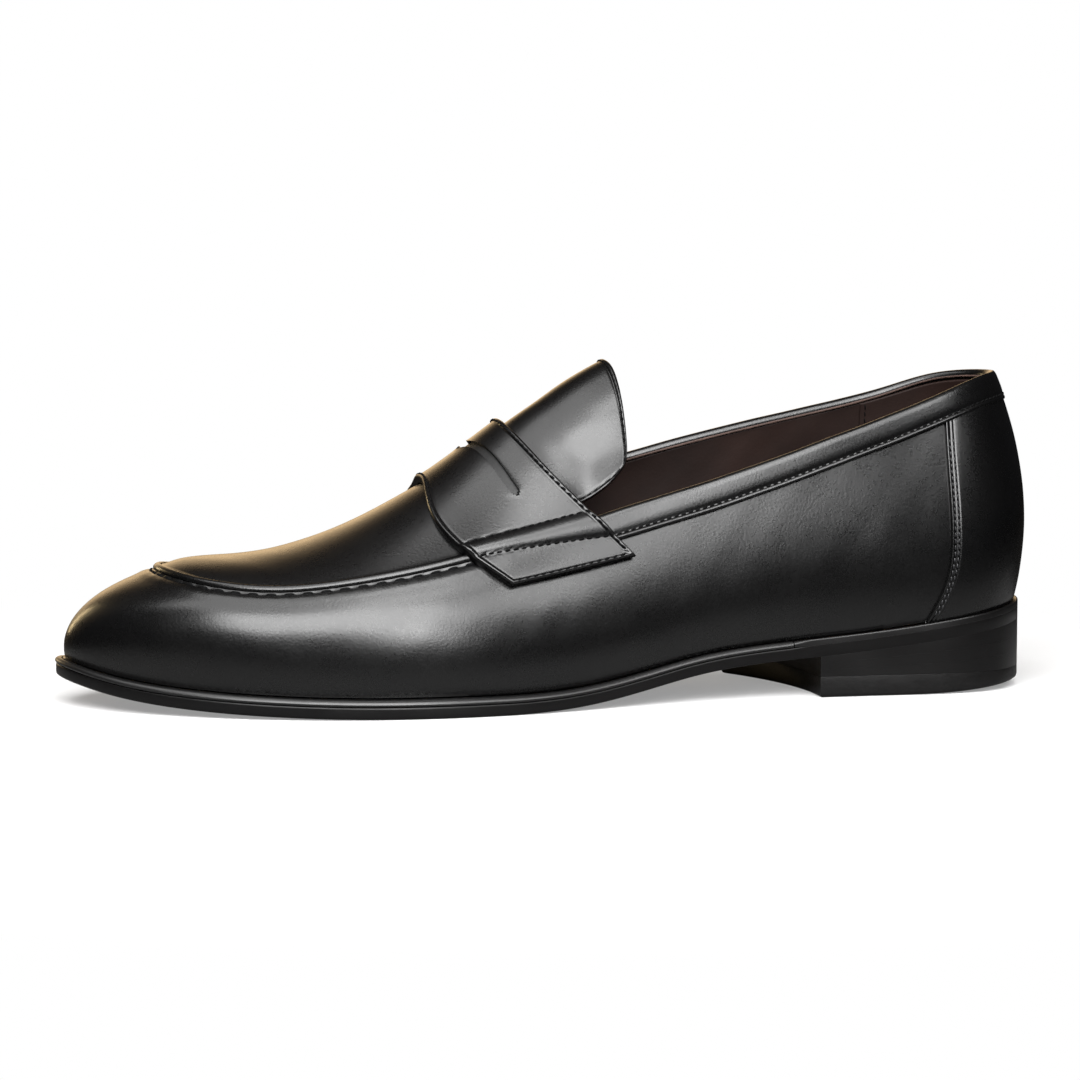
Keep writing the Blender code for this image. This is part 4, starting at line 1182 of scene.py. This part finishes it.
def outsole():
    """Sole edge as one ring with a rounded bottom corner and stitch channel, and the tread in it."""
    stations = even_stations(0, STATIONS, 1.3, OUTLINE)[:-1]
    edge = OUTLINE(stations)
    out = outward(stations)
    # (distance in from the edge, height above the underside)
    profile = np.array([
        (7.0, 0.03), (5.6, 0), (5.25, 0.22), (4.95, 0.3), (4.65, 0.22), (4.3, 0), (1.3, 0),
        (0.85, 0.05), (0.55, 0.2), (0.36, 0.45), (0.28, 0.8), (0.26, 1.6), (0.26, 2.9), (0.32, 3.3),
        (0.5, 3.5), (0.8, 3.56), (7.0, 3.56)])
    squared = np.array([
        (7.0, 0.03), (5.6, 0), (5.25, 0), (4.95, 0), (4.65, 0), (4.3, 0), (1.3, 0), (0.85, 0), (0.5, 0),
        (0.3, 0), (0.23, 0), (SOLE_SIDE, 0.03), (SOLE_SIDE, 3.48), (SOLE_SIDE, 3.53), (0.23, 3.56),
        (0.8, 3.56), (7.0, 3.56)])
    channel = np.zeros(len(profile))
    channel[2:5] = profile[2:5, 1]
    sections = []
    for spot, way in zip(edge, out):
        under_heel = smooth(spot[0], *HEEL_FRONT)
        shape = profile * (1 - under_heel) + squared * under_heel
        plan = spot - way * shape[:, :1]
        rise = shape[:, 1] - channel * smooth(plan[:, 0], *CHANNEL_END) * (1 - under_heel)
        sections.append(np.column_stack([plan, sole_low(plan[:, 0]) + rise]))
    item = sweep("sole_edge", np.array(sections), SOLE_INK, closed=True, angle=60)
    item.data.materials.append(SOLE_LEATHER)
    item.data.materials.append(WAIST_SHADE_LEATHER)
    count = len(profile)
    for polygon in item.data.polygons:
        columns = sorted(v % count for v in polygon.vertices)
        across_hole = columns[0] == 0 and columns[-1] == count - 1
        # faces of the tread under the waist take the near-black leather, painted shade
        if columns[-1] <= 6 or (across_hole and polygon.normal.z < 0):
            polygon.material_index = 2 if in_waist(polygon) else 1
    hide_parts("outsole")
    item = plan_solid("sole_tread", plan_rows(6.8), 0.02, OUTSOLE_THICK, 0.0, 0.0,
                      [SOLE_LEATHER, WAIST_SHADE_LEATHER], edge)
    # the tread under the waist takes the near-black leather, painted shade
    for polygon in item.data.polygons:
        polygon.material_index = int(in_waist(polygon))
    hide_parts("outsole")


def edge_strip(name, start, end, node):
    """Welt or rand on the sole's edge, with an upper edge bead; returns the line for a row of stitches."""
    stations = even_stations(start, end, 1.6, OUTLINE)
    edge = OUTLINE(stations)
    out = outward(stations)
    width = welt_width(edge)[:, 0]
    low = OUTSOLE_THICK + 0.1
    high = SOLE_STACK
    beaded = np.array([
        (0.9, low), (0.4, low + 0.03), (0.1, low + 0.2), (-0.05, low + 0.48), (-0.02, low + 0.72),
        (0.12, low + 1.02), (0.34, low + 1.32), (0.64, low + 1.58), (1.0, low + 1.76),
        (1.35, high - 0.04), (1.7, high - 0.2), (2.0, high - 0.22), (2.2, high - 0.12)])
    flush = np.array([
        (0.8, low), (0.25, low), (SOLE_SIDE, low + 0.03), (SOLE_SIDE, low + 0.1),
        (SOLE_SIDE, high - 0.5), (0.24, high - 0.22), (0.38, high - 0.07), (0.62, high), (0.95, high - 0.04),
        (1.15, high - 0.16), (1.3, high - 0.2), (1.4, high - 0.16), (1.5, high - 0.1)])
    inside = np.array([
        (-0.2, high - 0.14), (0.6, high - 0.2), (WELT_INNER, high - 0.2), (WELT_INNER, low)])
    sections = []
    for spot, way, wide in zip(edge, out, width):
        under_heel = smooth(spot[0], *HEEL_FRONT)
        row = np.vstack([beaded * (1 - under_heel) + flush * under_heel, inside + (wide, 0)])
        plan = spot - way * row[:, :1]
        sections.append(np.column_stack([plan, sole_low(plan[:, 0]) + row[:, 1]]))
    sections = np.array(sections)
    item = sweep(name, sections, EDGE_INK, angle=60)
    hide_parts(node)
    stitch_column = 11
    return sections[:, stitch_column], np.tile(UP, (len(sections), 1))


def heel_outline(inset, rows=60, columns=21):
    """Plan of the heel: round the back between its breast corners, then along the hollow breast."""
    stations = np.concatenate([np.linspace(BREAST_STATIONS[0], HEEL_STATION, rows),
                               np.linspace(HEEL_STATION, BREAST_STATIONS[1], rows)[1:]])
    inset = inset + SOLE_SIDE
    side = OUTLINE(stations) - outward(stations) * inset
    share = np.linspace(0, 1, columns)[1:-1, None]
    breast = side[-1] * (1 - share) + side[0] * share
    breast[:, 0] += BREAST_HOLLOW * 4 * share[:, 0] * (1 - share[:, 0]) + inset
    side[0, 0] += inset
    side[-1, 0] += inset
    return np.vstack([side, breast])


def heel_block(name, low, high, rings, surface, node):
    """Solid of the heel's outline: rings are (inset, share of the height, mm above that)."""
    loops = []
    for inset, share, shift in rings:
        plan = heel_outline(inset)
        bottom = low(plan)
        loops.append(np.column_stack([plan, bottom + (high(plan) - bottom) * share + shift]))
    item = sweep(name, np.array(loops), surface, angle=40)
    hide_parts(node)


def heel():
    """Three leather lifts under the seat and the rubber block, worn a little at the back."""
    base = TOP_PIECE_THICK + GAP

    def level(index):
        def height(plan):
            seat = sole_low(plan[:, 0])
            return base + (seat - base) * index / LIFTS
        return height

    rings = [(0.4, 0, 0), (0.03, 0, 0), (0, 0, 0.03), (0, 0, 0.12), (0, 1, -0.12), (0, 1, -0.03),
             (0.03, 1, 0), (0.4, 1, 0)]
    for index in range(LIFTS):
        heel_block(f"heel_stack_{index + 1}", level(index), level(index + 1), rings, HEEL_INK,
                   f"heel_lift_{index + 1}")

    def worn(plan):
        return 2.4 * smooth(plan[:, 0], 252, 298) ** 1.3

    def full(plan):
        return np.full(len(plan), base)

    rings = [(1.3, 0, 0), (0.6, 0, 0.1), (0.22, 0, 0.35), (0.04, 0, 0.8), (0, 0, 1.3), (0, 1, -0.2),
             (0.05, 1, -0.06), (0.12, 1, -0.02), (0.5, 1, 0)]
    heel_block("heel_top_block", worn, full, rings, RUBBER, "heel_top_piece")


def sock():
    """Leather footbed on the insole."""
    low = SOLE_STACK + GAP + INSOLE_THICK + 0.1
    t = np.linspace(0, STATIONS, 2400, endpoint=False)
    edge = OUTLINE(t)
    edge = edge - outward(t) * (SOCK_REACH + welt_width(edge))
    item = plan_solid("sock_leather", plan_rows(SOCK_REACH, 130, extra_width=True), low,
                      low + SOCK_THICK + 0.2, 0.1, 0.5, [SOCK], edge)
    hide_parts("sock_liner")


def sole_unit():
    """Sole, stitched welt, rand, heel and footbed."""
    outsole()
    clearance = 0.01
    seam = edge_strip("welt_strip", RAND_END - STATIONS + clearance, RAND_START - clearance, "welt")
    edge_strip("heel_rand_strip", RAND_START, RAND_END, "heel_rand")
    stitches("welt_stitches", [seam], 2.9, THREAD, 2.2, 0.28, 0.02, slant=12)
    heel()
    sock()


def hidden_parts():
    """CAD pieces that stay as they are, inside the shoe."""
    finishes = {"cork_filler": CORK, "steel_shank": STEEL, "insole_board": BOARD, "toe_puff": BOARD,
                "heel_counter": BOARD}
    for index in range(1, 6):
        finishes[f"heel_nail_{index}"] = BRASS
    for name, surface in finishes.items():
        item = frame["nodes"][name]
        item.data.materials.clear()
        item.data.materials.append(surface)


# ---------------------------------------------------------------- studio

def fade_to_white(made):
    """Paper that looks white and grows shadowless away from the shoe, but reflects dimly in it."""
    nodes, links = made.nodes, made.links

    def distance(vector):
        node = nodes.new("ShaderNodeVectorMath")
        node.operation = "LENGTH"
        links.new(vector, node.inputs[0])
        return node.outputs["Value"]

    def emission(value):
        node = nodes.new("ShaderNodeEmission")
        node.inputs["Color"].default_value = (value, value, value, 1)
        return node.outputs["Emission"]

    def mixed(factor, first, second):
        node = nodes.new("ShaderNodeMixShader")
        for socket, value in zip(node.inputs, (factor, first, second)):
            links.new(value, socket)
        return node.outputs["Shader"]

    length = distance(made.place)
    made.colours(distance(made.stretch((0.4, 1, 1))), [(0.07, (0.2,) * 3), (0.16, (0.012,) * 3)])
    far = nodes.new("ShaderNodeMapRange")
    far.interpolation_type = "SMOOTHSTEP"
    far.inputs["From Min"].default_value = 0.17
    far.inputs["From Max"].default_value = 0.34
    links.new(length, far.inputs["Value"])
    lit = nodes.new("ShaderNodeBsdfDiffuse")
    lit.inputs["Color"].default_value = (0.5, 0.5, 0.5, 1)
    near = nodes.new("ShaderNodeAddShader")
    links.new(lit.outputs["BSDF"], near.inputs[0])
    links.new(emission(0.3), near.inputs[1])
    seen = mixed(far.outputs["Result"], near.outputs["Shader"], emission(1))
    path = nodes.new("ShaderNodeLightPath")
    whole = mixed(path.outputs["Is Camera Ray"], made.shader.outputs["BSDF"], seen)
    links.new(whole, nodes["Material Output"].inputs["Surface"])


def studio():
    """Pale floor, dim room with a warm glow behind the shoe, and softboxes."""
    mesh = bpy.data.meshes.new("studio_floor")
    size = 6.0
    corners = [(-size, -size, 0), (size, -size, 0), (size, size, 0), (-size, size, 0)]
    mesh.from_pydata(corners, [], [(0, 1, 2, 3)])
    floor = bpy.data.objects.new("studio_floor", mesh)
    made = Finish("floor_paper")
    made.roughness(made.span(made.noise(40, 2), 0.85, 0.95))
    made.bump([(made.noise(900, 2), 0.00005, 0.1)])
    made.set(Specular_IOR_Level=0.1)
    fade_to_white(made)
    mesh.materials.append(made.material)
    floor.location.z = -0.00005
    bpy.context.scene.collection.objects.link(floor)

    world = bpy.data.worlds.new("studio")
    bpy.context.scene.world = world
    world.use_nodes = True
    nodes = world.node_tree.nodes
    links = world.node_tree.links
    nodes.clear()
    place = nodes.new("ShaderNodeTexCoord")
    split = nodes.new("ShaderNodeSeparateXYZ")
    links.new(place.outputs["Generated"], split.inputs["Vector"])

    def ease(value, low, high):
        node = nodes.new("ShaderNodeMapRange")
        node.interpolation_type = "SMOOTHSTEP"
        node.inputs["From Min"].default_value = low
        node.inputs["From Max"].default_value = high
        links.new(split.outputs[value], node.inputs["Value"])
        return node.outputs["Result"]

    def blend_colours(factor, first, second):
        node = nodes.new("ShaderNodeMix")
        node.data_type = "RGBA"
        links.new(factor, node.inputs["Factor"])
        for socket, value in ((node.inputs[6], first), (node.inputs[7], second)):
            if isinstance(value, tuple):
                socket.default_value = (*value, 1)
            else:
                links.new(value, socket)
        return node.outputs[2]

    overhead = blend_colours(ease("Z", 0.6, 1.0), (0.012, 0.012, 0.013), (0.07, 0.06, 0.055))
    glow = blend_colours(ease("Z", 0.6, 0.16), overhead, (2.3, 1.62, 0.9))
    glow = blend_colours(ease("Z", 0.0, 0.16), overhead, glow)
    glow = blend_colours(ease("X", -0.42, -0.12), overhead, glow)
    glow = blend_colours(ease("X", 0.5, 0.22), overhead, glow)
    room = blend_colours(ease("Y", 0.2, 0.7), overhead, glow)
    lit = nodes.new("ShaderNodeBackground")
    lit.inputs["Strength"].default_value = 1.0
    links.new(room, lit.inputs["Color"])
    seen = nodes.new("ShaderNodeBackground")
    seen.inputs["Color"].default_value = (1, 1, 1, 1)
    path = nodes.new("ShaderNodeLightPath")
    mix = nodes.new("ShaderNodeMixShader")
    out = nodes.new("ShaderNodeOutputWorld")
    links.new(path.outputs["Is Camera Ray"], mix.inputs["Fac"])
    links.new(lit.outputs["Background"], mix.inputs[1])
    links.new(seen.outputs["Background"], mix.inputs[2])
    links.new(mix.outputs["Shader"], out.inputs["Surface"])

    def area(name, azimuth, elevation, distance, wide, tall, radiance, colour=(1, 1, 1)):
        """Softbox aimed at the shoe: azimuth 0 is the camera's side, positive towards the heel."""
        turn = math.radians(azimuth)
        lift = math.radians(elevation)
        level = math.cos(lift)
        way = Vector((math.sin(turn) * level, -math.cos(turn) * level, math.sin(lift)))
        data = bpy.data.lights.new(name, "AREA")
        data.shape = "RECTANGLE"
        data.size = wide
        data.size_y = tall
        data.energy = radiance * math.pi * wide * tall
        data.color = colour
        item = bpy.data.objects.new(name, data)
        item.location = way * distance + Vector((0, 0, 0.05))
        item.rotation_mode = "QUATERNION"
        item.rotation_quaternion = (-way).to_track_quat("-Z", "Y")
        bpy.context.scene.collection.objects.link(item)

    area("key_softbox", -20, 39, 1.1, 1.0, 0.62, 12.0)
    area("high_softbox", 0, 64, 1.1, 0.54, 0.3, 9.5)
    area("low_softbox", 2, 19, 1.1, 0.36, 0.26, 11.5)
    area("side_softbox", 35, 41, 1.1, 0.34, 0.42, 8.5)
    area("quarter_softbox", 14, 34, 1.1, 0.16, 0.24, 10.0)
    area("top_softbox", -75, 66, 1.2, 0.8, 0.7, 3.2)
    area("toe_kicker", 216, 12, 1.1, 0.12, 0.35, 8.0, (1, 0.76, 0.42))
    bpy.context.scene.view_settings.view_transform = "Standard"


def camera():
    """The photo's viewpoint: 12 degrees towards the toe and a little above."""
    swing = math.radians(11.93)
    rise = math.radians(4.35)
    distance = 0.7737
    target = Vector(((145 - ORIGIN[0]) * MM, -ORIGIN[1] * MM, 0.046))
    level = math.cos(rise)
    back = Vector((-math.sin(swing) * level, -math.cos(swing) * level, math.sin(rise)))
    data = bpy.data.cameras.new("photo_camera")
    data.sensor_width = 36
    data.lens = 85
    data.clip_start = 0.01
    data.clip_end = 50
    item = bpy.data.objects.new("photo_camera", data)
    item.rotation_mode = "QUATERNION"
    item.location = target + back * distance
    item.rotation_quaternion = (-back).to_track_quat("-Z", "Y")
    bpy.context.scene.collection.objects.link(item)
    bpy.context.scene.camera = item


camera()
vamp_skirt()
heel_foxing()
apron()
apron_cord()
collar_band()
saddle_strap()
tongue()
linings()
vamp_lining()
sole_unit()
hidden_parts()
studio()
